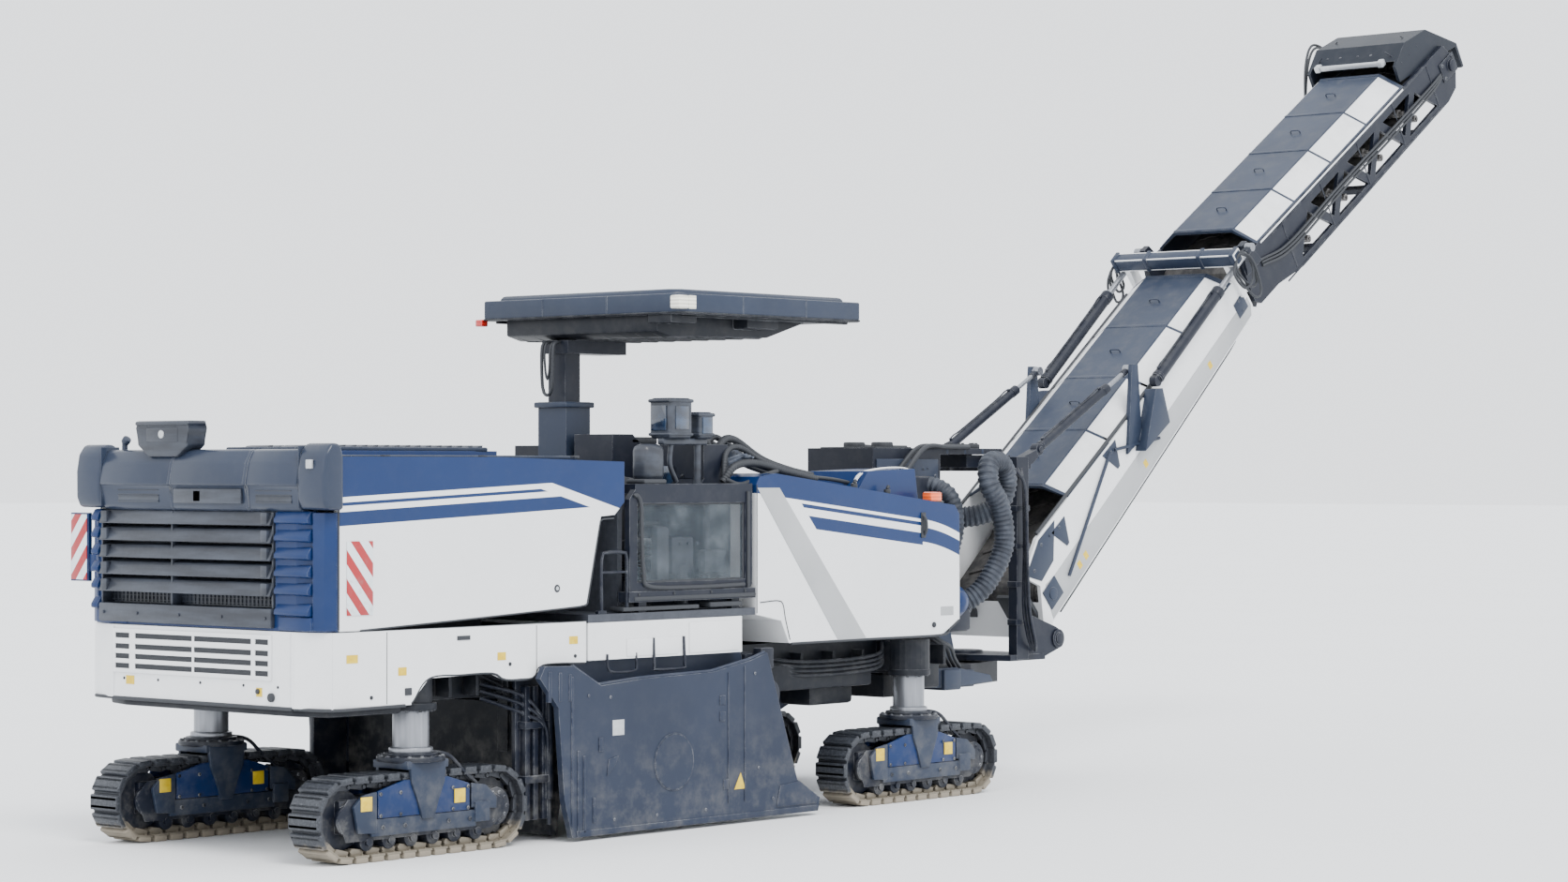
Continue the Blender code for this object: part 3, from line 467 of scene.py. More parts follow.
for end in ENDS:
    for side, sign in SIDES.items():
        body = f"crawler_{end}_{side}"
        x0 = LEG_X[end]
        y0 = sign * LEG_Y
        steel = bmesh.new()
        slate = bmesh.new()
        blue = bmesh.new()
        plates = bmesh.new()
        middle = TRACK_RADIUS
        run = TRACK_HALF_RUN
        block(steel, (x0 - run - 0.05, x0 + run + 0.05), (y0 - 0.10, y0 + 0.10), (0.20, 0.42), 0.01)
        for across in (-0.132, 0.122):
            prism(steel, "Y", y0 + across, y0 + across + 0.012,
                  [(x0 - run - 0.02, 0.145), (x0 + run - 0.06, 0.145), (x0 + run + 0.06, 0.22),
                   (x0 + run + 0.06, 0.34), (x0 + run - 0.10, 0.43), (x0 - run, 0.43),
                   (x0 - run - 0.10, 0.32)])
        for k in range(6):
            x = x0 - 0.50 + 0.20 * k
            rod(steel, (x, y0 - 0.115, 0.135), (x, y0 + 0.115, 0.135), 0.062, 20, 0.008)
            rod(steel, (x, y0 - 0.14, 0.135), (x, y0 + 0.14, 0.135), 0.026, 12)
        for x in (x0 - 0.2, x0 + 0.25):
            rod(steel, (x, y0 - 0.09, 0.455), (x, y0 + 0.09, 0.455), 0.035, 16, 0.005)
        teeth = [((0.19 if k % 4 < 2 else 0.222) * math.cos(math.tau * k / 52 + 0.05) + x0 + run,
                  (0.19 if k % 4 < 2 else 0.222) * math.sin(math.tau * k / 52 + 0.05) + middle)
                 for k in range(52)]
        prism(steel, "Y", y0 - 0.04, y0 + 0.04, teeth, 0.0)
        rod(steel, (x0 - run, y0 - 0.05, middle), (x0 - run, y0 + 0.05, middle), 0.205, 32, 0.01)
        for across in (-0.125, 0.095):
            rod(steel, (x0 - run, y0 + across, middle), (x0 - run, y0 + across + 0.03, middle), 0.10, 24,
                0.006)
            rod(steel, (x0 + run, y0 + across, middle), (x0 + run, y0 + across + 0.03, middle), 0.13, 24,
                0.006)
            for k in range(10):
                a = math.tau * k / 10
                facing_out = 1 if across > 0 else -1
                bolts(steel, [(x0 + run + 0.10 * math.cos(a), y0 + (0.125 if across > 0 else -0.125),
                               middle + 0.10 * math.sin(a))], (0, facing_out, 0), 0.009)
        for out in (-1, 1):
            near, far = sorted((y0 + out * 0.134, y0 + out * 0.160))
            prism(slate, "Y", near, far, [(x0 - 0.50, 0.17), (x0 + 0.46, 0.17), (x0 + 0.46, 0.285),
                                          (x0 - 0.50, 0.285)], 0.008)
            tip, base = sorted((y0 + out * 0.150, y0 + out * 0.178))
            prism(slate, "Y", tip, base, [(x0 - 0.055, 0.26), (x0 + 0.055, 0.26), (x0 + 0.10, 0.40),
                                          (x0 + 0.15, 0.50), (x0 + 0.165, 0.645), (x0 - 0.165, 0.645),
                                          (x0 - 0.15, 0.50), (x0 - 0.10, 0.40)], 0.006)
            prism(blue, "Y", near, far - 0.004 * (out > 0),
                  [(x0 - 0.44, 0.287), (x0 + 0.40, 0.287), (x0 + 0.40, 0.47), (x0 + 0.20, 0.53),
                   (x0 - 0.20, 0.53), (x0 - 0.44, 0.47)], 0.008)
            prism(slate, "Y", *sorted((y0 + out * 0.136, y0 + out * 0.166)),
                  [(x0 - 0.62, 0.20), (x0 - 0.455, 0.19), (x0 - 0.455, 0.47), (x0 - 0.58, 0.45),
                   (x0 - 0.66, 0.38)],
                  0.008)
            prism(slate, "Y", *sorted((y0 + out * 0.136, y0 + out * 0.156)),
                  [(x0 + 0.42, 0.30), (x0 + 0.66, 0.28), (x0 + 0.66, 0.36), (x0 + 0.56, 0.45),
                   (x0 + 0.42, 0.47)],
                  0.008)
            block(slate, (x0 + 0.44, x0 + 0.58), sorted((y0 + out * 0.15, y0 + out * 0.174)), (0.20, 0.34),
                  0.01)
            for x in (x0 - 0.55, x0 + 0.30):
                block(plates, (x - 0.05, x + 0.05), sorted((y0 + out * 0.160, y0 + out * 0.168)),
                      (0.345, 0.44), 0.002)
            bolts(steel, [(x0 + dx, y0 + out * 0.160, z) for dx in (-0.42, -0.24, 0.24,
                                                                    0.38) for z in (0.305, 0.45)],
                  (0, out, 0), 0.010)
            bolts(steel, [(x0 + dx, y0 + out * 0.160, 0.228) for dx in (-0.40, -0.20, 0.20, 0.40)],
                  (0, out, 0), 0.012)
        block(slate, (x0 - 0.19, x0 + 0.19), (y0 - 0.176, y0 + 0.176), (0.595, 0.655), 0.012)
        block(steel, (x0 - 0.28, x0 + 0.28), (y0 - 0.12, y0 + 0.12), (0.40, 0.50), 0.02)
        rod(steel, (x0, y0, 0.64), (x0, y0, 0.675), 0.235, 48, 0.008)
        rod(steel, (x0, y0, 0.67), (x0, y0, 0.70), 0.185, 48, 0.008)
        bolts(steel, [(x0 + 0.212 * math.cos(a), y0 + 0.212 * math.sin(a), 0.675)
                      for a in (math.tau * k / 16 for k in range(16))], (0, 0, 1), 0.012)
        hose(steel, [(x0 + 0.10, y0 + 0.05, 0.70), (x0 + 0.24, y0 + 0.11, 0.67),
                     (x0 + 0.36, y0 + 0.13, 0.56),
                     (x0 + 0.48, y0 + 0.12, 0.47)], 0.014)
        hose(steel, [(x0 + 0.10, y0 - 0.05, 0.70), (x0 + 0.24, y0 - 0.11, 0.67),
                     (x0 + 0.36, y0 - 0.13, 0.56),
                     (x0 + 0.50, y0 - 0.12, 0.46)], 0.014)
        leg = bmesh.new()
        rod(leg, (x0, y0, 0.695), (x0, y0, 0.998), 0.125, 64, 0.004)
        rod(leg, (x0, y0, 0.695), (x0, y0, 0.735), 0.150, 64, 0.010)
        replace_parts(piece(steel, f"crawler_gear_{end}_{side}", body, navy_enamel),
                    f"track_frame_{end}_{side}")
        piece(slate, f"crawler_yoke_{end}_{side}", body, slate_enamel)
        piece(blue, f"crawler_covers_{end}_{side}", body, blue_enamel)
        piece(plates, f"crawler_plates_{end}_{side}", body, yellow_plate)
        piece(leg, f"crawler_leg_{end}_{side}", body, leg_chrome)

# ---- rear skirt ----------------------------------------------------------------------------
# A folded and welded white apron round the tail, with wheel arches cut in its sides. A pressed
# grille of four slot rows lets air in at the back, and a rubber lip edges it below.

WHITE = (0.80, 0.81, 0.82)
white_enamel = enamel("white_enamel", WHITE, 0.32, 0.30, 0.25, 0.4, 0.05)
dress(white_enamel, "rear_skirt", "platform_base")
made, shader, place, facing = begin("rubber_trim")
pores = place.noise(90.0, 3.0)
connect(shader, Base_Color=pores.blend((0.012, 0.014, 0.018), (0.030, 0.033, 0.040)), Roughness=0.62,
        Normal=pores.bump(0.2, 0.002))
rubber_trim = made


def lattice(mesh, axis, low, high, across, up, holes, edge=0.003):
    """A plate over a grid of lines, open in the (column, row) cells of holes."""
    order = {"X": (2, 0, 1), "Y": (0, 2, 1), "Z": (0, 1, 2)}[axis]
    corners = {}
    shape = bmesh.new()

    def corner(i, j, level):
        if (i, j, level) not in corners:
            point = (across[i], up[j], level)
            corners[i, j, level] = shape.verts.new([point[k] for k in order])
        return corners[i, j, level]

    cells = {(i, j) for i in range(len(across) - 1) for j in range(len(up) - 1)} - set(holes)
    for i, j in cells:
        ring = [(i, j), (i + 1, j), (i + 1, j + 1), (i, j + 1)]
        shape.faces.new([corner(u, v, high) for u, v in ring])
        shape.faces.new([corner(u, v, low) for u, v in reversed(ring)])
        beyond = [(i, j - 1), (i + 1, j), (i, j + 1), (i - 1, j)]
        for k, cell in enumerate(beyond):
            if cell not in cells:
                (a, b), (c, d) = ring[k], ring[(k + 1) % 4]
                shape.faces.new((corner(a, b, high), corner(a, b, low), corner(c, d, low),
                                 corner(c, d, high)))
    bmesh.ops.recalc_face_normals(shape, faces=shape.faces)
    bmesh.ops.dissolve_limit(shape, angle_limit=0.01, verts=shape.verts, edges=shape.edges)
    sharp = [e for e in shape.edges if len(e.link_faces) == 2 and e.calc_face_angle() > 1.0]
    bmesh.ops.bevel(shape, geom=sharp, offset=edge, segments=2, profile=0.5, affect="EDGES",
                    clamp_overlap=True)
    join(mesh, shape)


def slots(starts, sizes):
    """Grid lines that hold a row of slots: their edges, with one more line outside at each end."""
    lines = [starts[0] - 0.03]
    for start, size in zip(starts, sizes):
        lines += [start, start + size]
    return lines + [lines[-1] + 0.03]


SLOT_COLUMNS = slots((-0.71, -0.535, 0.08, 0.755), (0.135, 0.595, 0.615, 0.155))
SLOT_ROWS = slots((1.238, 1.305, 1.373, 1.448), (0.036, 0.036, 0.036, 0.036))
mesh = bmesh.new()
lattice(mesh, "X", -0.012, -0.001, SLOT_COLUMNS, SLOT_ROWS,
        [(i, j) for i in (1, 3, 5, 7) for j in (1, 3, 5, 7)])
for y in (-0.93, 0.93):
    block(mesh, (-0.006, 0.002), (y - 0.002, y + 0.002), (1.05, 1.53), 0.0)
piece(mesh, "skirt_grille", "root", white_enamel)

mesh = bmesh.new()
block(mesh, (-0.0025, -0.0005), (-0.73, 0.92), (1.22, 1.50), 0.0)
for j in range(4):
    for k in range(3):
        z = SLOT_ROWS[1 + 2 * j] + 0.004 + 0.012 * k
        block(mesh, (-0.006, -0.002), (-0.73, 0.92), (z, z + 0.004), 0.0)
for sign in SIDES.values():
    hose(mesh, [(0.012, sign * 0.95, 1.03), (0.09, sign * 1.245, 1.03), (0.40, sign * 1.25, 1.03),
                (0.72, sign * 1.25, 1.032)], 0.012)
hose(mesh, [(0.004, -0.94, 1.03), (-0.002, 0.0, 1.03), (0.004, 0.94, 1.03)], 0.014)
for sign in SIDES.values():
    arch = [(0.79, 1.05), (0.94, 1.203), (1.24, 1.215), (1.54, 1.213), (1.66, 1.165), (1.92, 1.165),
            (2.02, 1.248), (2.44, 1.248)]
    hose(mesh, [(x, sign * 1.243, z) for x, z in arch], 0.009)
piece(mesh, "skirt_rubber", "root", rubber_trim)

mesh = bmesh.new()
prism(mesh, "Z", 0.975, 1.028, [(0.06, -0.90), (0.14, -1.15), (0.76, -1.18), (0.76, 1.18), (0.14, 1.15),
                                (0.06, 0.90)], 0.02)
piece(mesh, "tail_underside", "root", chassis_black)

mesh = bmesh.new()
for sign in SIDES.values():
    skin = sign * 1.25
    bolts(mesh, [(0.42, skin, 1.10), (1.70, skin, 1.27), (2.34, skin, 1.30)], (0, sign, 0), 0.010)
    block(mesh, (1.20, 1.32), sorted((skin - sign * 0.004, skin + sign * 0.006)), (1.452, 1.482), 0.002)
    block(mesh, (0.556, 0.562), sorted((skin - sign * 0.001, skin + sign * 0.001)), (1.05, 1.53), 0.0)
    block(mesh, (1.955, 1.961), sorted((skin - sign * 0.001, skin + sign * 0.001)), (1.20, 1.53), 0.0)
    block(mesh, (0.72, 0.78), sorted((skin - sign * 0.004, skin + sign * 0.008)), (1.10, 1.15), 0.004)
    block(mesh, (0.10, 2.46), sorted((skin - sign * 0.02, skin + sign * 0.0015)), (1.5405, 1.5445), 0.0)
bolts(mesh, [(0.0, y, 1.17) for y in (-0.80, -0.45, 0.0, 0.45, 0.82)], (-1, 0, 0), 0.007)
rod(mesh, (0.002, -0.74, 1.10), (-0.02, -0.74, 1.10), 0.03, 24, 0.003)
rod(mesh, (0.002, -0.60, 1.135), (-0.014, -0.60, 1.135), 0.018, 20, 0.002)
piece(mesh, "skirt_fittings", "root", rubber_trim)

mesh = bmesh.new()
for sign in SIDES.values():
    out = sorted((sign * 1.2502, sign * 1.2525))
    for x, z, wide in ((0.20, 1.335, 0.10), (0.66, 1.235, 0.075), (1.58, 1.30, 0.08), (2.28, 1.385, 0.085)):
        block(mesh, (x, x + wide), out, (z, z + 0.055), 0.0)
for y, z, wide in ((0.80, 1.13, 0.09), (-0.58, 1.10, 0.06)):
    block(mesh, (-0.0025, -0.0005), (y - wide, y), (z, z + 0.06), 0.0)
piece(mesh, "skirt_plates", "root", yellow_plate)

# ---- rear cowl, louvres and hazard boards --------------------------------------------------
# The blue tail cowl wraps both corners and carries five pressed slats a side. Between them a
# dark louvre panel of five folded blades covers the radiator, over a bar. Striped boards of
# red and white film face the road behind.

dress(blue_enamel, "rear_cowl")
LOUVRE_ROW = 0.118
made, shader, place, facing = begin("louvre_dark")
wash = place.node("Mapping", {}, {"Vector": place, "Scale": (4.0, 1.2, 9.0)}).noise(1.6, 5.0)
soot = place.noise(26.0, 6.0, 0.7)
connect(shader, Base_Color=wash.step(0.3, 0.75).blend((0.008, 0.011, 0.019), (0.032, 0.040, 0.058)),
        Roughness=soot * 0.25 + 0.40, Coat_Weight=0.2, Normal=soot.bump(0.12, 0.003))
louvre_dark = made
mesh = bmesh.new()
for k in range(5):
    z = 1.795 + LOUVRE_ROW * k
    prism(mesh, "Y", -0.745, 1.07, [(0.10, z + 0.080), (0.10, z + 0.088), (0.010, z + 0.066),
                                    (-0.030, z - 0.020),
                                    (-0.026, z - 0.026), (-0.010, z - 0.024), (0.018, z + 0.056)], 0.003)
    for y in (-0.70, 1.00):
        block(mesh, (-0.035, 0.02), (y - 0.02, y + 0.045), (z - 0.018, z + 0.062), 0.008)
block(mesh, (-0.026, 0.11), (-0.752, 1.078), (1.560, 1.690), 0.012)
for y in (-0.75, 0.30, 1.06):
    block(mesh, (0.0, 0.12), (y, y + 0.015), (1.69, 2.33), 0.003)
block(mesh, (0.095, 0.12), (-0.752, 1.078), (1.60, 2.33), 0.0)
for k in range(44):
    y = -0.735 + 0.041 * k
    block(mesh, (0.086, 0.094), (y, y + 0.006), (1.70, 2.32), 0.0)
for k in range(20):
    z = 1.71 + 0.031 * k
    block(mesh, (0.084, 0.090), (-0.74, 1.07), (z, z + 0.005), 0.0)
bolts(mesh, [(-0.026, y, 1.625) for y in (-0.70, -0.25, 0.20, 0.65, 1.02)], (-1, 0, 0), 0.009)
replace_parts(piece(mesh, "radiator_louvres", "root", louvre_dark), "rear_louvres")

mesh = bmesh.new()
for k in range(6):
    z = 1.668 + LOUVRE_ROW * k - (0.02 if k == 0 else 0.0)
    for low, high in ((-1.115, -0.775), (1.095, 1.17)):
        prism(mesh, "Y", low, high, [(0.07, z + 0.085), (0.012, z + 0.080), (-0.022, z + 0.030),
                                     (-0.022, z + 0.004),
                                     (0.03, z - 0.010), (0.07, z - 0.010)], 0.008)
for sign in SIDES.values():
    prism(mesh, "Z", 1.55, 2.33, [(0.065, sign * 1.185), (0.030, sign * 1.120), (0.010, sign * 1.130),
                                  (0.045, sign * 1.215), (0.118, sign * 1.252), (0.125, sign * 1.235)],
          0.006)
    block(mesh, (-0.004, 0.06), sorted((sign * 0.80, sign * 1.13)), (1.548, 1.64), 0.01)
piece(mesh, "cowl_slats", "root", blue_enamel)

made, shader, place, facing = begin("hazard_film")
slant = place.axis(0) - REAR + place.axis(1).math("ABSOLUTE", place.axis(1)) + place.axis(2) * 0.82
stripe = (slant * 6.4).math("FRACT", slant * 6.4)
band = stripe.math("PINGPONG", stripe, 0.5).step(0.245, 0.255)
grime = place.noise(20.0, 6.0).step(0.5, 0.8) * 0.3
connect(shader, Base_Color=grime.blend(band.blend((0.36, 0.006, 0.010), (0.72, 0.78, 0.81)), DUST),
        Roughness=0.4,
        Coat_Weight=0.3)
hazard_film = made
mesh = bmesh.new()
block(mesh, (0.20, 0.43), (-1.2585, -1.2505), (1.65, 2.14), 0.006)
block(mesh, (0.20, 0.43), (1.2505, 1.2585), (1.65, 2.14), 0.006)
block(mesh, (0.0235, 0.0295), (1.275, 1.452), (1.84, 2.30), 0.003)
piece(mesh, "hazard_boards", "root", hazard_film)

# ---- rear visor ----------------------------------------------------------------------------
# A moulded slate cap over the louvres: a crowned centre with two vent slots, a rounded pod at
# each corner that wraps round to the side, and a housing for the rear camera on top.

visor_slate = enamel("visor_slate", (0.018, 0.027, 0.050), 0.30, 0.25, 0.6, 0.5)
mesh = bmesh.new()
face = [(0.128, 2.345), (0.0, 2.335), (-0.020, 2.36), (-0.032, 2.50), (-0.058, 2.515), (-0.030, 2.66),
        (0.012, 2.742), (0.05, 2.752), (0.128, 2.745)]
for low, high, deep in ((-1.035, -0.515, 0.0), (-0.505, 0.275, -0.004), (0.285, 1.035, 0.0)):
    prism(mesh, "Y", low, high, [(x + deep, z) for x, z in face], 0.012)
for y in (-0.51, 0.28):
    prism(mesh, "Y", y - 0.014, y + 0.014, [(x - 0.006, z) for x, z in face], 0.004)
prism(mesh, "Y", -1.035, 1.035, [(0.09, 2.26), (0.02, 2.325), (0.0, 2.345), (0.10, 2.345)], 0.006)
for sign in SIDES.values():
    pod = bmesh.new()
    prism(pod, "Y", *sorted((sign * 1.04, sign * 1.31)),
          [(0.127, 2.345), (0.127, 2.70), (0.10, 2.785), (0.02, 2.79), (-0.032, 2.72), (-0.052, 2.60),
           (-0.050, 2.42), (-0.020, 2.35)], 0.0)
    edges = list(pod.edges)
    bmesh.ops.bevel(pod, geom=edges, offset=0.028, segments=4, profile=0.5, affect="EDGES",
                    clamp_overlap=True)
    join(mesh, pod)
    block(mesh, (-0.04, 0.12), sorted((sign * 1.035, sign * 1.045)), (2.36, 2.77), 0.004)
rod(mesh, (0.06, 0.90, 2.74), (0.06, 0.90, 2.80), 0.02, 16, 0.004)
rod(mesh, (0.06, 0.90, 2.80), (0.06, 0.87, 2.83), 0.03, 16, 0.006)
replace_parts(piece(mesh, "tail_visor", "root", visor_slate,
                  Matrix.Translation((0.0035, 0.0, 0.0)), 50.0), "rear_visor")

mesh = bmesh.new()
for low, high in ((-0.96, -0.60), (0.42, 0.86)):
    for k in range(3):
        z = 2.395 + 0.038 * k
        prism(mesh, "Y", low, high, [(-0.030, z), (-0.030, z + 0.004), (0.0, z + 0.024), (0.0, z + 0.018)],
              0.0)
    block(mesh, (-0.024, -0.005), (low, high), (2.39, 2.50), 0.0)
block(mesh, (-0.046, -0.02), (-0.47, 0.24), (2.385, 2.485), 0.006)
piece(mesh, "visor_vents", "root", louvre_dark)

mesh = bmesh.new()
block(mesh, (-0.046, -0.0425), (-0.045, 0.025), (2.40, 2.47), 0.001)
block(mesh, (-0.060, -0.042), (-1.20, -1.14), (2.62, 2.68), 0.004)
rod(mesh, (-0.036, 0.37, 2.855), (-0.048, 0.37, 2.855), 0.028, 24, 0.002)
made, shader, place, facing = begin("bare_aluminium")
connect(shader, Base_Color=place.noise(40.0).blend((0.42, 0.44, 0.46), (0.62, 0.64, 0.66)), Metallic=0.6,
        Roughness=0.42)
bare_aluminium = made
piece(mesh, "blank_type_plates", "root", bare_aluminium)

mesh = bmesh.new()
housing = bmesh.new()
prism(housing, "X", -0.034, 0.125, [(0.10, 2.78), (0.10, 2.90), (0.085, 2.948), (0.655, 2.948), (0.64, 2.90),
                                    (0.64, 2.78), (0.52, 2.70), (0.22, 2.70)], 0.0)
bmesh.ops.bevel(housing, geom=list(housing.edges), offset=0.014, segments=3, profile=0.5, affect="EDGES",
                clamp_overlap=True)
join(mesh, housing)
block(mesh, (-0.046, 0.12), (0.085, 0.655), (2.915, 2.945), 0.012)
block(mesh, (-0.040, 0.0), (0.20, 0.54), (2.80, 2.905), 0.010)
piece(mesh, "rear_camera_housing", "root", louvre_dark, angle=50.0)

# ---- engine hood ---------------------------------------------------------------------------
# One glass-fibre hood tilts back over the engine on hinges at the tail. Blue above and white
# below, parted by two white pinstripes that run down to the platform at the front. Slotted
# panels on top let the heat out, and a black seal shows round its edges.

STRIPE_REAR = (0.13, 2.43)
STRIPE_SLOPE = 0.0455
DROP_POINT = (2.11, 2.52)
DROP_SLOPE = -0.269
HAIR = 0.0012


def livery(name, make_mask):
    """White enamel with blue where the mask is 1."""
    made, shader, place, facing = begin(name)
    station = place.axis(0) - REAR
    mask = make_mask(station, place.axis(2))
    cloud = place.noise(0.9, 4.0).step(0.3, 0.7)
    paint = mask.blend(cloud.blend(WHITE, [c * 0.96 for c in WHITE]),
                       cloud.blend(BLUE, (0.0035, 0.023, 0.098)))
    grain = place.noise(6.0, 7.0, 0.65)
    film = grain.step(0.45, 0.8) * (facing.axis(2).step(0.5, 1.0) * 0.6 + 0.10) * 0.35
    rounded = place.node("Bevel", {"samples": 4}, {"Radius": 0.012})
    peel = place.noise(140.0, 2.0) * 0.3 + grain
    bump = peel.node("Bump", {}, {"Height": peel, "Strength": 0.04, "Distance": 0.004, "Normal": rounded})
    connect(shader, Base_Color=film.blend(paint, DUST), Roughness=film * 0.5 + grain * 0.06 + 0.30,
            Coat_Weight=0.15, Coat_Roughness=0.12, Specular_IOR_Level=0.25, Normal=bump)
    return made


def between(height, low, high):
    """1 between two heights."""
    return height.step(low - HAIR, low + HAIR) * height.step(high + HAIR, high - HAIR)


def hood_blue(station, height):
    along = height - (station - STRIPE_REAR[0]) * STRIPE_SLOPE - STRIPE_REAR[1]
    drop = height - (station - DROP_POINT[0]) * DROP_SLOPE - DROP_POINT[1]
    top = along.step(-HAIR, HAIR)
    top = top.math("MAXIMUM", top, drop.step(-HAIR, HAIR))
    stripes = between(along, -0.058, -0.036) + between(along, -0.190, -0.098)
    low = stripes * drop.step(-0.070 + HAIR, -0.070 - HAIR)
    return top.math("MAXIMUM", top, low)


hood_livery = livery("hood_livery", hood_blue)
dress(hood_livery, "hood")

mesh = bmesh.new()
for low, high in ((-0.56, -0.20), (-0.18, 0.18), (0.20, 0.56)):
    prism(mesh, "Z", 2.738, 2.772, [(0.68, low), (2.20, low * 0.92), (2.20, high * 0.92), (0.68, high)],
          0.012)
for y in (-1.0, 1.0):
    block(mesh, (0.40, 2.55), (y - 0.07, y + 0.07), (2.685, 2.712), 0.010)
for y in (-0.82, 0.82):
    block(mesh, (0.30, 2.60), (y - 0.03, y + 0.03), (2.690, 2.704), 0.006)
piece(mesh, "hood_top_ribs", "hood", slate_enamel)

mesh = bmesh.new()
for low, high in ((-0.50, -0.26), (-0.12, 0.12), (0.26, 0.50)):
    for k in range(14):
        x = 0.80 + 0.10 * k
        prism(mesh, "Y", low, high, [(x, 2.770), (x + 0.055, 2.770), (x + 0.062, 2.786), (x + 0.020, 2.781)],
              0.002)
piece(mesh, "hood_top_vents", "hood", louvre_dark)

mesh = bmesh.new()
for sign in SIDES.values():
    skin = sorted((sign * 1.2485, sign * 1.2515))
    hose(mesh, [(x, sign * 1.250, z) for x, z in [(0.32, 1.548), (1.3, 1.592), (2.30, 1.642),
                                                  (2.40, 1.650)]], 0.006)
    hose(mesh, [(x, sign * 1.250, z) for x, z in ((2.40, 1.650), (2.455, 1.66), (2.475, 1.72), (2.58, 2.19),
                                                 (2.60, 2.25), (2.64, 2.262), (2.73, 2.266))], 0.006)
    rod(mesh, (2.16, sign * 1.246, 1.78), (2.16, sign * 1.253, 1.78), 0.028, 24, 0.002)
    block(mesh, (0.126, 0.138), skin, (1.56, 2.68), 0.0)
    for x in (0.55, 1.45, 2.35):
        block(mesh, (x, x + 0.05), sorted((sign * 1.19, sign * 1.235)), (2.694, 2.712), 0.004)
for y in (-0.9, -0.3, 0.3, 0.9):
    block(mesh, (0.14, 0.24), (y - 0.05, y + 0.05), (2.695, 2.715), 0.005)
piece(mesh, "hood_seals", "hood", rubber_trim)

mesh = bmesh.new()
for sign in SIDES.values():
    rod(mesh, (2.16, sign * 1.250, 1.78), (2.16, sign * 1.256, 1.78), 0.014, 20, 0.002)
piece(mesh, "hood_locks", "hood", bare_aluminium)

# ---- operator platform ---------------------------------------------------------------------
# A walk-through deck of chequer plate between glass side screens. Each screen is a rubber
# gasketed pane in a folded steel frame with a padded arm shelf. Handrails, a boarding step
# and hydraulic hoses hang outside.

made, shader, place, facing = begin("chequer_plate")
flat = place.node("VectorRotate", {"rotation_type": "Z_AXIS"}, {"Vector": place, "Angle": 0.785})
lugs = flat.node("TexChecker", {}, {"Vector": flat, "Scale": 34.0}, 1)
scratch = place.noise(18.0, 6.0)
connect(shader, Base_Color=scratch.blend((0.020, 0.024, 0.034), (0.075, 0.082, 0.10)), Metallic=0.3,
        Roughness=scratch * 0.3 + 0.35, Normal=(lugs * 0.6 + scratch * 0.3).bump(0.5, 0.004))
chequer_plate = made
dress(chequer_plate, "platform_floor")
dress(navy_enamel, "side_screen_frame_right", "side_screen_frame_left")

made, shader, place, facing = begin("screen_glass")
smear = place.noise(3.0, 6.0).step(0.35, 0.8)
connect(shader, Base_Color=smear.blend((0.05, 0.07, 0.09), (0.22, 0.26, 0.29)),
        Roughness=smear * 0.12 + 0.04,
        Alpha=smear * 0.16 + 0.20, Coat_Weight=0.2)
screen_glass = made
dress(screen_glass, "side_glass_right", "side_glass_left")

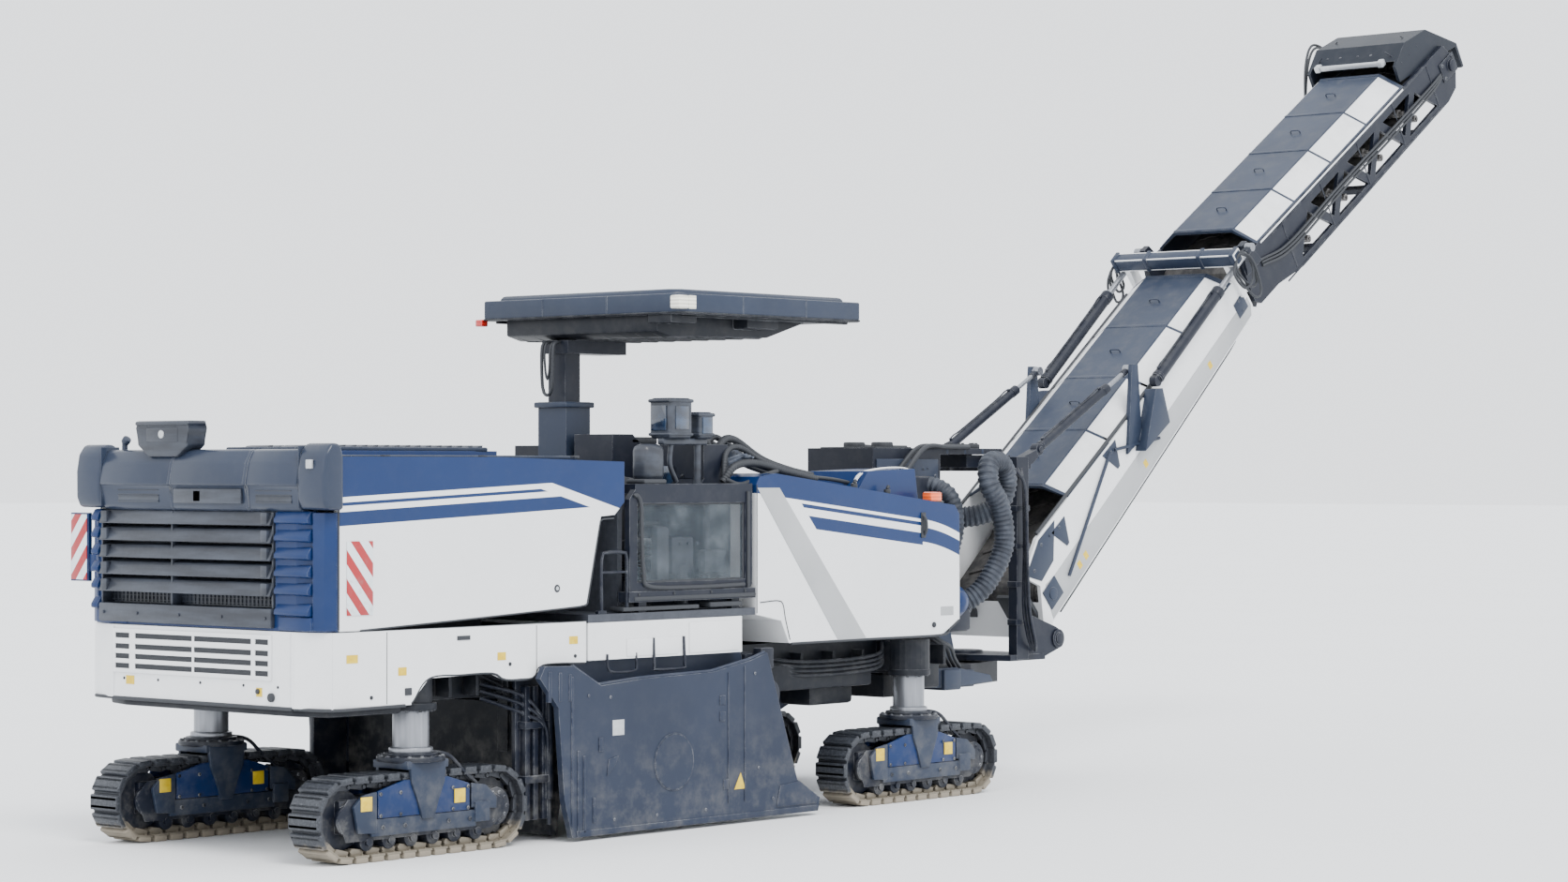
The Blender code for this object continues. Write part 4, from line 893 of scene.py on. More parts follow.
for side, sign in SIDES.items():
    mesh = bmesh.new()
    out = sign * 1.252
    ring = [(2.98, 1.80), (4.14, 1.80), (4.14, 2.37), (2.98, 2.37)]
    for a, b in zip(ring, ring[1:] + ring[:1]):
        hose(mesh, [(a[0], sign * 1.22, a[1]), ((a[0] + b[0]) / 2, sign * 1.22, (a[1] + b[1]) / 2),
                    (b[0], sign * 1.22, b[1])], 0.014)
    hose(mesh, [(2.94, out, 2.42), (2.965, out, 2.43), (3.01, out, 2.36), (3.02, out, 2.1),
                (3.04, out, 1.86),
                (3.10, out, 1.77), (3.6, out, 1.755), (4.12, out, 1.762)], 0.016)
    hose(mesh, [(4.165, out, 1.74), (4.165, out, 2.1), (4.165, out, 2.45)], 0.013)
    block(mesh, (2.93, 4.24), sorted((sign * 1.19, sign * 1.268)), (1.668, 1.700), 0.010)
    block(mesh, (3.06, 3.30), sorted((sign * 1.05, sign * 1.24)), (2.508, 2.545), 0.016)
    block(mesh, (2.82, 3.62), sorted((sign * 1.12, sign * 1.262)), (1.598, 1.628), 0.008)
    block(mesh, (3.74, 4.10), sorted((sign * 1.14, sign * 1.262)), (1.602, 1.64), 0.012)
    bolts(mesh, [(x, sign * 1.26, 1.715) for x in (2.98, 3.35, 3.75, 4.12)], (0, sign, 0), 0.008)
    piece(mesh, f"screen_gasket_{side}", "root", rubber_trim)

    mesh = bmesh.new()
    for x, top in ((3.50, 2.12), (3.86, 2.02)):
        block(mesh, (x, x + 0.24), sorted((sign * 1.02, sign * 1.10)), (1.84, top), 0.02)
    block(mesh, (3.30, 3.44), sorted((sign * 1.06, sign * 1.14)), (1.70, 2.20), 0.03)
    rod(mesh, (3.62, sign * 1.08, 1.62), (3.62, sign * 1.08, 1.92), 0.05, 24, 0.01)
    rod(mesh, (3.98, sign * 1.00, 1.60), (3.98, sign * 1.00, 2.40), 0.024, 16, 0.004)
    for k in range(3):
        rod(mesh, (3.58 + 0.09 * k, sign * 1.10, 2.07), (3.58 + 0.09 * k, sign * 1.118, 2.07), 0.014, 14,
            0.003)
    piece(mesh, f"screen_switchgear_{side}", "root", louvre_dark)

    mesh = bmesh.new()
    for x0, x1, top in ((2.62, 2.88, 2.02),):
        hose(mesh, [(x0, sign * 1.235, 1.60), (x0, sign * 1.235, top - 0.05), (x0 + 0.05, sign * 1.235, top),
                    (x1 - 0.05, sign * 1.235, top), (x1, sign * 1.235, top - 0.05),
                    (x1, sign * 1.235, 1.60)], 0.014)
    hose(mesh, [(2.62, sign * 1.235, 1.88), (2.75, sign * 1.235, 1.88), (2.88, sign * 1.235, 1.88)], 0.010)
    block(mesh, (2.58, 2.66), sorted((sign * 1.21, sign * 1.25)), (1.585, 1.61), 0.004)
    hose(mesh, [(3.14, sign * 1.253, 1.40), (3.14, sign * 1.262, 1.20), (3.16, sign * 1.262, 1.17),
                (3.44, sign * 1.262, 1.17), (3.46, sign * 1.262, 1.20), (3.46, sign * 1.253, 1.40)], 0.011)
    hose(mesh, [(2.66, sign * 1.255, 1.30), (2.66, sign * 1.262, 1.20), (2.72, sign * 1.262, 1.17),
                (2.92, sign * 1.262, 1.17), (2.96, sign * 1.255, 1.20), (2.96, sign * 1.25, 1.30)], 0.009)
    piece(mesh, f"boarding_rails_{side}", "root", navy_enamel)

    mesh = bmesh.new()
    skin = sorted((sign * 1.2505, sign * 1.256))
    prism(mesh, "Y", *skin, [(2.86, 1.275), (3.40, 1.275), (3.44, 1.31), (3.44, 1.40), (2.86, 1.40)], 0.004)
    prism(mesh, "Y", *skin, [(3.52, 1.275), (4.06, 1.275), (4.09, 1.30), (4.09, 1.47), (4.05, 1.50),
                             (3.52, 1.50)],
          0.004)
    piece(mesh, f"platform_side_panels_{side}", "root", white_enamel)

# ---- seats ---------------------------------------------------------------------------------
# Two swing-out seats of black coated cloth over foam, on a sprung steel pedestal. Each has a
# dished base, a back with a head pad and piped seams.

made, shader, place, facing = begin("seat_cloth")
weave = place.node("TexWave", {"wave_type": "BANDS", "bands_direction": "Z"},
                   {"Vector": place, "Scale": 160.0, "Distortion": 1.5}, 1)
cross = place.node("TexWave", {"wave_type": "BANDS", "bands_direction": "Y"},
                   {"Vector": place, "Scale": 160.0, "Distortion": 1.5}, 1)
shade = place.noise(6.0, 5.0)
connect(shader, Base_Color=shade.blend((0.010, 0.011, 0.014), (0.032, 0.035, 0.043)), Roughness=0.78,
        Sheen_Weight=0.3, Normal=(weave + cross).bump(0.25, 0.001))
seat_cloth = made


def cushion(mesh, centre, size, lean=0.0, crown=0.03):
    """A foam pad with full rounded edges, crowned in the middle and drawn in along its seam."""
    shape = bmesh.new()
    bmesh.ops.create_cube(shape, size=1.0)
    bmesh.ops.subdivide_edges(shape, edges=list(shape.edges), cuts=11, use_grid_fill=True)
    for corner in shape.verts:
        u, v, w = (c * 2 for c in corner.co)
        edge = max(abs(u), abs(v))
        round_over = (1 - max(0.0, edge - 0.72) ** 2 * 3.2)
        pull = 1 - 0.035 * (1 - abs(w)) ** 2
        swell = crown * (1 - u * u) * (1 - v * v)
        channel = 0.010 * math.exp(-((abs(v) - 0.62) / 0.035) ** 2) * (w > 0.5)
        corner.co = (u * size[0] / 2 * pull * (1 - 0.07 * v * v),
                     v * size[1] / 2 * pull * (1 - 0.07 * u * u),
                     w * size[2] / 2 * round_over + (swell if w > 0 else 0.0) - channel)
    for _ in range(2):
        bmesh.ops.smooth_vert(shape, verts=shape.verts, factor=0.5, use_axis_x=True, use_axis_y=True,
                              use_axis_z=True)
    shape.transform(Matrix.Translation(centre) @ Matrix.Rotation(lean, 4, "Y"))
    join(mesh, shape)


for side, sign in SIDES.items():
    centre = sign * 0.72
    mesh = bmesh.new()
    cushion(mesh, (3.46, centre, 2.03), (0.46, 0.48, 0.11))
    cushion(mesh, (3.235, centre, 2.32), (0.50, 0.46, 0.10), math.radians(98.0))
    cushion(mesh, (3.190, centre, 2.585), (0.09, 0.26, 0.07), math.radians(98.0), 0.01)
    pad = piece(mesh, f"seat_pads_{side}", "root", seat_cloth, angle=80.0)
    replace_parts(pad, f"operator_seat_{side}")
    mesh = bmesh.new()
    rod(mesh, (3.45, centre, 1.586), (3.45, centre, 1.62), 0.16, 32, 0.008)
    rod(mesh, (3.45, centre, 1.60), (3.45, centre, 1.80), 0.045, 24, 0.004)
    for k in range(7):
        rod(mesh, (3.45, centre, 1.79 + 0.022 * k), (3.45, centre, 1.805 + 0.022 * k), 0.085, 24, 0.006)
    block(mesh, (3.26, 3.66), (centre - 0.20, centre + 0.20), (1.945, 1.975), 0.008)
    prism(mesh, "Y", centre - 0.19, centre + 0.19,
          [(3.20, 1.95), (3.26, 1.95), (3.165, 2.55), (3.150, 2.55)], 0.006)
    for y in (centre - 0.25, centre + 0.25):
        hose(mesh, [(3.24, y, 2.02), (3.22, y, 2.16), (3.26, y, 2.21), (3.48, y, 2.22)], 0.018)
    piece(mesh, f"seat_pedestal_{side}", "root", rubber_trim)

# ---- console, covers and displays ----------------------------------------------------------
# The control stand runs across the deck behind a windscreen of soft dark covers. Two display
# pods stand on the right arm shelf, and armoured hoses lie over the front body.

dress(navy_enamel, "control_console")
mesh = bmesh.new()
for y, x, z, deep, wide, tall in ((-1.01, 3.46, 2.84, 0.25, 0.21, 0.30),
                                  (-1.01, 3.80, 2.84, 0.16, 0.18, 0.20)):
    pod = bmesh.new()
    block(pod, (x, x + deep), (y - wide / 2, y + wide / 2), (z, z + tall), 0.0)
    bmesh.ops.bevel(pod, geom=list(pod.edges), offset=0.028, segments=4, profile=0.5, affect="EDGES",
                    clamp_overlap=True)
    join(mesh, pod)
    block(mesh, (x - 0.012, x + deep + 0.010), (y - wide / 2 - 0.006, y + wide / 2 + 0.006),
          (z + tall - 0.035, z + tall - 0.008), 0.012)
    block(mesh, (x - 0.008, x + deep + 0.006), (y - wide / 2 - 0.004, y + wide / 2 + 0.004),
          (z + 0.02, z + 0.045),
          0.010)
hose(mesh, [(3.86, -1.02, 2.51), (3.86, -1.02, 2.68), (3.86, -1.02, 2.82)], 0.028)
block(mesh, (3.46, 3.94), (-1.055, -0.985), (2.795, 2.845), 0.012)
hose(mesh, [(3.58, -1.02, 2.84), (3.56, -1.02, 2.66), (3.62, -1.03, 2.52)], 0.020)
block(mesh, (3.20, 3.42), (-1.12, -0.96), (2.52, 2.80), 0.05)
rod(mesh, (3.30, -1.03, 2.50), (3.30, -1.03, 2.58), 0.05, 20, 0.01)
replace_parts(piece(mesh, "display_pods", "root", louvre_dark, angle=50.0), "monitor_stand")

made, shader, place, facing = begin("display_screen")
connect(shader, Base_Color=place.noise(5.0).step(0.4, 0.7).blend((0.010, 0.016, 0.030),
                                                                 (0.022, 0.050, 0.105)),
        Roughness=0.12, Coat_Weight=0.8)
display_screen = made
mesh = bmesh.new()
block(mesh, (3.4475, 3.456), (-1.085, -0.935), (2.90, 3.085), 0.004)
block(mesh, (3.52, 3.66), (-1.1215, -1.113), (2.91, 3.08), 0.004)
block(mesh, (3.828, 3.932), (-1.1065, -1.099), (2.88, 3.00), 0.003)
for y in (-0.70, 0.45):
    block(mesh, (3.925, 3.945), (y, y + 0.26), (2.50, 2.64), 0.004)
piece(mesh, "display_glass", "root", display_screen)

mesh = bmesh.new()
for y in (-0.85, -0.45, 0.65, 0.92):
    rod(mesh, (4.02, y, 2.60), (4.00, y, 2.72), 0.012, 12, 0.003)
    rod(mesh, (4.00, y, 2.70), (3.99, y, 2.76), 0.024, 16, 0.008)
for k in range(14):
    y = -0.92 + 0.135 * k
    rod(mesh, (3.965, y, 2.555), (3.945, y, 2.575), 0.014, 14, 0.003)
block(mesh, (3.90, 4.20), (-0.30, 0.10), (2.80, 2.86), 0.02)
hose(mesh, [(4.06, -0.6, 2.70), (4.02, -0.72, 2.88), (4.06, -0.86, 2.90), (4.12, -0.96, 2.72)], 0.018)
piece(mesh, "console_levers", "root", rubber_trim)

mesh = bmesh.new()
paths = (
    ((4.12, -1.05, 2.56), (4.20, -1.00, 2.74), (4.40, -0.95, 2.78), (4.75, -0.92, 2.66),
     (5.30, -0.90, 2.57)),
    ((4.10, -0.95, 2.60), (4.22, -0.92, 2.80), (4.46, -0.84, 2.84), (4.86, -0.80, 2.68),
     (5.40, -0.78, 2.56)),
    ((4.14, -0.80, 2.70), (4.28, -0.78, 2.85), (4.52, -0.70, 2.82), (4.90, -0.66, 2.66),
     (5.55, -0.62, 2.55)),
    ((4.05, -1.10, 2.52), (4.16, -1.13, 2.64), (4.42, -1.10, 2.66), (4.80, -1.06, 2.60),
     (5.20, -1.02, 2.54)),
    ((4.18, -0.62, 2.74), (4.34, -0.58, 2.88), (4.60, -0.52, 2.80), (5.00, -0.48, 2.65),
     (5.62, -0.46, 2.52)),
)
for k, path in enumerate(paths):
    hose(mesh, path, 0.030 if k % 2 else 0.024, 0.022, 12)
hose(mesh, [(4.06, -1.12, 2.54), (4.20, -1.15, 2.50), (4.45, -1.14, 2.565), (4.66, -1.10, 2.60)], 0.020)
hose(mesh, [(5.15, -0.95, 2.56), (5.6, -0.9, 2.53), (6.0, -0.95, 2.46), (6.45, -1.0, 2.42)], 0.016)
piece(mesh, "armoured_hoses", "root", rubber_trim, angle=60.0)

# ---- folded cover sheet --------------------------------------------------------------------
# A dark tarpaulin that closes the controls for the night, bunched along the front of the deck.

made, shader, place, facing = begin("tarpaulin")
crease = place.noise(11.0, 7.0, 0.7)
connect(shader, Base_Color=crease.step(0.3, 0.75).blend((0.020, 0.026, 0.040), (0.085, 0.105, 0.145)),
        Roughness=0.55, Normal=crease.bump(0.5, 0.012))
tarpaulin = made
mesh = bmesh.new()
ACROSS = 96
AROUND = 28
rings = []
for i in range(ACROSS + 1):
    y = -1.08 + 1.70 * i / ACROSS
    swing = 0.035 * math.sin(i * 0.55) + 0.020 * math.sin(i * 1.3 + 1.0)
    ring = []
    for k in range(AROUND):
        a = math.tau * k / AROUND
        fold = 1 + 0.16 * math.sin(3 * a + i * 0.21) + 0.10 * math.sin(7 * a - i * 0.37)
        close = min(1.0, 6.0 * (i + 0.4) / ACROSS, 6.0 * (ACROSS - i + 0.4) / ACROSS)
        ring.append(mesh.verts.new((4.40 + swing + 0.15 * fold * close * math.cos(a), y,
                                    2.69 + 0.09 * fold * close * math.sin(a) + swing * 0.5)))
    rings.append(ring)
for low, high in zip(rings, rings[1:]):
    for k in range(AROUND):
        mesh.faces.new((low[k - 1], low[k], high[k], high[k - 1]))
mesh.faces.new(rings[0][::-1])
mesh.faces.new(rings[-1])
rolled = piece(mesh, "rolled_cover", "root", tarpaulin, angle=80.0)

# ---- canopy --------------------------------------------------------------------------------
# A sheet metal roof on one telescoping post. Its rim is folded down all round, the underside
# is a dark ribbed tray that carries lamps, and the mast slides in a square sleeve.

mesh = bmesh.new()
rim = [(3.70, -1.08), (5.66, -1.08), (5.76, -0.98), (5.76, 0.98), (5.66, 1.08), (3.70, 1.08), (3.60, 0.98),
       (3.60, -0.98)]
prism(mesh, "Z", 3.775, 3.915, rim, 0.012)
top = bmesh.new()
prism(top, "Z", 3.905, 3.9545, [(4.68 + (x - 4.68) * 0.93, y * 0.90) for x, y in rim], 0.0)
bmesh.ops.bevel(top, geom=[e for e in top.edges if all(v.co.z > 3.94 for v in e.verts)], offset=0.045,
                segments=3,
                profile=0.5, affect="EDGES", clamp_overlap=True)
join(mesh, top)
for x in (4.30, 5.02):
    block(mesh, (x, x + 0.012), (-1.0825, -1.075), (3.78, 3.912), 0.0)
for y in (-0.34, 0.34):
    block(mesh, (3.5975, 3.61), (y, y + 0.012), (3.78, 3.912), 0.0)
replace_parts(piece(mesh, "canopy_shell", "canopy", slate_enamel), "canopy_roof")

mesh = bmesh.new()
prism(mesh, "Z", 3.765, 3.778, [(4.68 + (x - 4.68) * 1.004, y * 1.004) for x, y in rim], 0.004)
prism(mesh, "Y", -0.80, 0.80, [(3.66, 3.77), (5.40, 3.77), (4.90, 3.625), (3.80, 3.605), (3.66, 3.64)],
      0.015)
for k in range(9):
    y = -0.72 + 0.18 * k
    prism(mesh, "Y", y - 0.012, y + 0.012, [(3.70, 3.63), (3.82, 3.598), (4.88, 3.615), (5.34, 3.75)], 0.004)
for y in (-0.98, 0.94):
    block(mesh, (3.72, 5.64), (y, y + 0.04), (3.745, 3.77), 0.006)
block(mesh, (4.50, 4.86), (-0.95, -0.75), (3.68, 3.77), 0.02)
block(mesh, (3.62, 3.90), (-0.98, -0.74), (3.70, 3.77), 0.012)
piece(mesh, "canopy_tray", "canopy", chassis_black)

dress(navy_enamel, "canopy_mast")
dress(slate_enamel, "canopy_post")
mesh = bmesh.new()
for half, low, radius in ((0.06, 3.18, 0.013), (0.03, 3.30, 0.009)):
    hose(mesh, [(3.72, 0.32 - half, 3.59), (3.65, 0.32 - half, 3.575), (3.628, 0.32 - half, 3.50),
                (3.628, 0.33 - half, low + 0.06), (3.628, 0.32, low), (3.628, 0.31 + half, low + 0.06),
                (3.628, 0.32 + half, 3.50), (3.65, 0.32 + half, 3.575), (3.72, 0.32 + half, 3.59)], radius)
piece(mesh, "mast_cables", "canopy", rubber_trim)

mesh = bmesh.new()
block(mesh, (3.655, 3.965), (0.145, 0.495), (3.085, 3.128), 0.010)
block(mesh, (3.655, 3.965), (0.145, 0.495), (2.66, 2.70), 0.010)
prism(mesh, "Y", 0.16, 0.48, [(3.96, 2.60), (4.40, 2.60), (4.40, 2.74), (4.30, 2.78), (3.96, 2.78)], 0.012)
piece(mesh, "mast_sleeve_collars", "root", slate_enamel)


def lens(name, colour, glow):
    """A moulded lamp lens: ribbed plastic that glows a little from its reflector."""
    made, shader, place, facing = begin(name)
    ribs = place.node("TexWave", {"wave_type": "BANDS", "bands_direction": "Z"},
                      {"Vector": place, "Scale": 12.0}, 1)
    connect(shader, Base_Color=ribs.blend(colour, [c * 0.6 for c in colour]), Roughness=0.15,
            Coat_Weight=0.6,
            Emission_Color=ribs.blend(colour, [c * 0.7 for c in colour]), Emission_Strength=glow,
            Normal=ribs.bump(0.3, 0.003))
    return made


clear_lens = lens("clear_lens", (0.85, 0.84, 0.72), 0.45)
red_lens = lens("red_lens", (0.55, 0.02, 0.015), 0.20)
amber_lens = lens("amber_lens", (0.90, 0.13, 0.02), 0.35)
mesh = bmesh.new()
block(mesh, (3.592, 3.70), (-1.086, -0.99), (3.80, 3.90), 0.012)
block(mesh, (3.70, 3.78), (-1.086, -1.06), (3.80, 3.90), 0.006)
piece(mesh, "canopy_work_lamp", "canopy", clear_lens)
mesh = bmesh.new()
block(mesh, (3.594, 3.66), (1.00, 1.078), (3.72, 3.775), 0.010)
piece(mesh, "canopy_tail_lamp", "canopy", red_lens)

# ---- front body ----------------------------------------------------------------------------
# The white front body covers tanks and the primary conveyor. A blue band falls forward along
# its top edge over two pinstripes. A pale grey strip runs down it at a slant: painted shade
# standing in for a folded facet that is darker from how the light falls on it.

TOP_EDGE = (4.30, 2.585)
TOP_SLOPE = -0.109
LATCH_X = 6.235
BAND = ((4.27, 2.477), (4.52, 2.477), (5.54, 1.306), (5.20, 1.306))


def front_blue(station, height):
    from_top = height - (station - TOP_EDGE[0]) * TOP_SLOPE - TOP_EDGE[1]
    past_band = station - BAND[1][0] + (height - BAND[1][1]) * 0.871
    stripes = between(from_top, -0.205, -0.176) + between(from_top, -0.356, -0.262)
    behind = stripes * past_band.step(0.150 - HAIR, 0.150 + HAIR) * station.step(LATCH_X + HAIR,
                                                                                 LATCH_X - HAIR)
    fall = (station - LATCH_X).math("MAXIMUM", station - LATCH_X, 0.0)
    curve = from_top + fall * fall * 0.30
    ahead = between(curve, -0.330, -0.215) * station.step(LATCH_X - HAIR, LATCH_X + HAIR)
    top = curve.step(-0.152 - HAIR, -0.152 + HAIR)
    return top.math("MAXIMUM", top, behind + ahead)


front_livery = livery("front_livery", front_blue)
dress(front_livery, "front_body")

# Grey enamel, also used as painted shade on the slanted strip of the front body.
grey_enamel_and_painted_shade = enamel("grey_enamel_and_painted_shade", (0.42, 0.43, 0.44), 0.4, 0.3, 0.2, 0.2)
# The slanted strip is painted shade: a thin grey plate standing in for a folded facet that falls darker.
mesh = bmesh.new()
for sign in SIDES.values():
    prism(mesh, "Y", *sorted((sign * 1.2495, sign * 1.2535)), BAND, 0.0015)
piece(mesh, "slanted_band_painted_shade", "root", grey_enamel_and_painted_shade)

mesh = bmesh.new()
for sign in SIDES.values():
    out = sorted((sign * 1.2495, sign * 1.2525))
    block(mesh, (4.262, 4.270), out, (1.54, 2.50), 0.0)
    block(mesh, (LATCH_X - 0.028, LATCH_X + 0.028), sorted((sign * 1.25, sign * 1.262)), (2.075, 2.275),
          0.008)
    hose(mesh, [(LATCH_X - 0.012, sign * 1.258, 2.255), (LATCH_X - 0.004, sign * 1.285, 2.22),
                (LATCH_X + 0.002, sign * 1.286, 2.14), (LATCH_X + 0.010, sign * 1.258, 2.10)], 0.012)
    rod(mesh, (6.37, sign * 1.25, 1.385), (6.37, sign * 1.262, 1.385), 0.022, 20, 0.003)
    rod(mesh, (6.36, sign * 1.262, 1.385), (6.36, sign * 1.268, 1.385), 0.012, 16, 0.002)
    hose(mesh, [(4.30, sign * 1.2515, 1.62), (4.50, sign * 1.2515, 1.628), (4.56, sign * 1.2515, 1.60),
                (4.585, sign * 1.2515, 1.50), (4.64, sign * 1.2515, 1.33)], 0.004)
    hose(mesh, [(4.66, sign * 1.247, 1.30), (5.6, sign * 1.249, 1.30), (6.46, sign * 1.247, 1.30),
                (6.58, sign * 1.247, 1.35), (6.69, sign * 1.247, 1.41)], 0.010)
for x in (4.95, 5.35, 6.02):
    block(mesh, (x, x + 0.012), (-0.40, 1.20), (2.42 + (6.02 - x) * 0.11, 2.452 + (6.02 - x) * 0.11), 0.002)
for x, y, z in ((5.95, -1.12, 2.43), (5.50, -1.16, 2.478), (5.50, 0.9, 2.475)):
    rod(mesh, (x, y, z - 0.03), (x, y, z + 0.03), 0.026, 20, 0.006)
    rod(mesh, (x, y, z + 0.03), (x + 0.02, y, z + 0.055), 0.014, 14, 0.004)
hose(mesh, [(5.70, 0.10, 2.47), (5.9, 0.28, 2.53), (6.2, 0.34, 2.50), (6.5, 0.30, 2.42), (6.66, 0.26, 2.34)],
     0.022)
hose(mesh, [(5.70, 0.25, 2.47), (5.9, 0.43, 2.52), (6.2, 0.46, 2.49), (6.5, 0.42, 2.41), (6.66, 0.40, 2.34)],
     0.018)
piece(mesh, "front_fittings", "root", rubber_trim)

mesh = bmesh.new()
for low, high in ((-0.30, 0.52), (0.62, 1.12)):
    top = bmesh.new()
    block(top, (4.62, 5.56), (low, high), (-0.004, 0.022), 0.012)
    top.transform(Matrix.Translation((4.62, 0.0, 2.553)) @ Matrix.Rotation(0.1085, 4, "Y")
                  @ Matrix.Translation((-4.62, 0.0, 0.0)))
    join(mesh, top)
for y in (-1.0, -0.98):
    hose(mesh, [(5.66, y, 2.44), (5.82, y, 2.592), (6.36, y, 2.612), (6.42, y, 2.40)], 0.008)
piece(mesh, "front_lids", "root", white_enamel)

mesh = bmesh.new()
for sign in SIDES.values():
    block(mesh, (6.36, 6.50), sorted((sign * 1.14, sign * 1.235)), (2.355, 2.435), 0.014)
piece(mesh, "marker_lamps", "root", amber_lens)
mesh = bmesh.new()
for sign in SIDES.values():
    block(mesh, (6.34, 6.52), sorted((sign * 1.13, sign * 1.24)), (2.335, 2.362), 0.006)
piece(mesh, "marker_lamp_bases", "root", rubber_trim)
mesh = bmesh.new()
block(mesh, (6.46, 6.62), (-1.2520, -1.2502), (1.455, 1.525), 0.0)
block(mesh, (6.46, 6.62), (1.2502, 1.2520), (1.455, 1.525), 0.0)
piece(mesh, "front_blank_plates", "root", grey_enamel_and_painted_shade)

mesh = bmesh.new()
for sign in SIDES.values():
    rod(mesh, (6.86, sign * 0.72, 1.55), (6.86, sign * 1.10, 1.55), 0.125, 40, 0.0)
    rod(mesh, (6.86, sign * 1.10, 1.55), (6.86, sign * 1.15, 1.55), 0.125, 40, 0.0, 0.085)
    rod(mesh, (6.86, sign * 1.15, 1.55), (6.86, sign * 1.17, 1.55), 0.085, 40, 0.01, 0.03)
piece(mesh, "accumulators", "root", blue_enamel)

# ---- milling drum --------------------------------------------------------------------------
# A steel drum with welded toolholders in two helices that meet in the middle and throw the
# cuttings to the conveyor. Each holder takes a round shank pick with a hard metal tip.

made, shader, place, facing = begin("worn_steel")
rub = place.noise(30.0, 8.0, 0.75)
pits = place.noise(9.0, 5.0)
connect(shader, Base_Color=rub.step(0.35, 0.7).blend((0.085, 0.080, 0.078), (0.26, 0.255, 0.25)),
        Metallic=0.7,
        Roughness=pits * 0.3 + 0.35, Normal=(rub + pits).bump(0.4, 0.004))
worn_steel = made
DRUM_LOW, DRUM_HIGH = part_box("milling_drum")
DRUM_X = (DRUM_LOW.x + DRUM_HIGH.x) / 2 - REAR
DRUM_Z = (DRUM_LOW.z + DRUM_HIGH.z) / 2
DRUM_R = (DRUM_HIGH.z - DRUM_LOW.z) / 2
BARREL_R = DRUM_R - 0.115
PICKS = 132

mesh = bmesh.new()
rod(mesh, (DRUM_X, -0.985, DRUM_Z), (DRUM_X, 0.985, DRUM_Z), BARREL_R, 72, 0.006)
for sign in SIDES.values():
    rod(mesh, (DRUM_X, sign * 0.93, DRUM_Z), (DRUM_X, sign * 0.96, DRUM_Z), BARREL_R + 0.03, 72, 0.006)
    rod(mesh, (DRUM_X, sign * 0.97, DRUM_Z), (DRUM_X, sign * 0.99, DRUM_Z), 0.20, 40, 0.004)
for k in range(PICKS):
    share = (k + 0.5) / PICKS
    y = (share * 2 - 1) * 0.94
    turn = abs(y) / 0.94 * math.tau * 1.75 + (math.pi if k % 2 else 0.0)
    shape = bmesh.new()
    prism(shape, "Y", -0.026, 0.026, [(-0.050, BARREL_R - 0.01), (0.045, BARREL_R - 0.01),
                                      (0.035, BARREL_R + 0.045),
                                      (-0.010, BARREL_R + 0.062), (-0.045, BARREL_R + 0.030)], 0.005)
    rod(shape, (-0.005, 0.0, BARREL_R + 0.045), (0.030, 0.0, BARREL_R + 0.085), 0.017, 12, 0.003)
    rod(shape, (0.026, 0.0, BARREL_R + 0.080), (0.046, 0.0, BARREL_R + 0.104), 0.013, 10, 0.0, 0.003)
    slant = Matrix.Rotation(math.copysign(0.16, -y), 4, "Z")
    shape.transform(Matrix.Translation((DRUM_X, y, DRUM_Z)) @ Matrix.Rotation(turn, 4, "Y") @ slant)
    join(mesh, shape)
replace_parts(piece(mesh, "pick_drum", "drum", worn_steel), "milling_drum")

# ---- drum housing, scraper and side plates -------------------------------------------------
# The housing is a thick welded box. Side plates float up and down beside it on vertical
# guides and seal the cut. They are slate, polished along the shoe and scuffed all over, with
# edges lightened partly by that scuffing and partly as a painted highlight.

# Strong edge lightening on this slate: partly scuffing, partly a painted highlight.
scuffed_and_edge_lit_slate = enamel("scuffed_and_edge_lit_slate", (0.019, 0.027, 0.050), 0.48, 0.30, 0.9, 0.1)
dress(scuffed_and_edge_lit_slate, "drum_housing", "side_plate_right", "side_plate_left", "primary_conveyor")
dress(chassis_black, "scraper_blade")

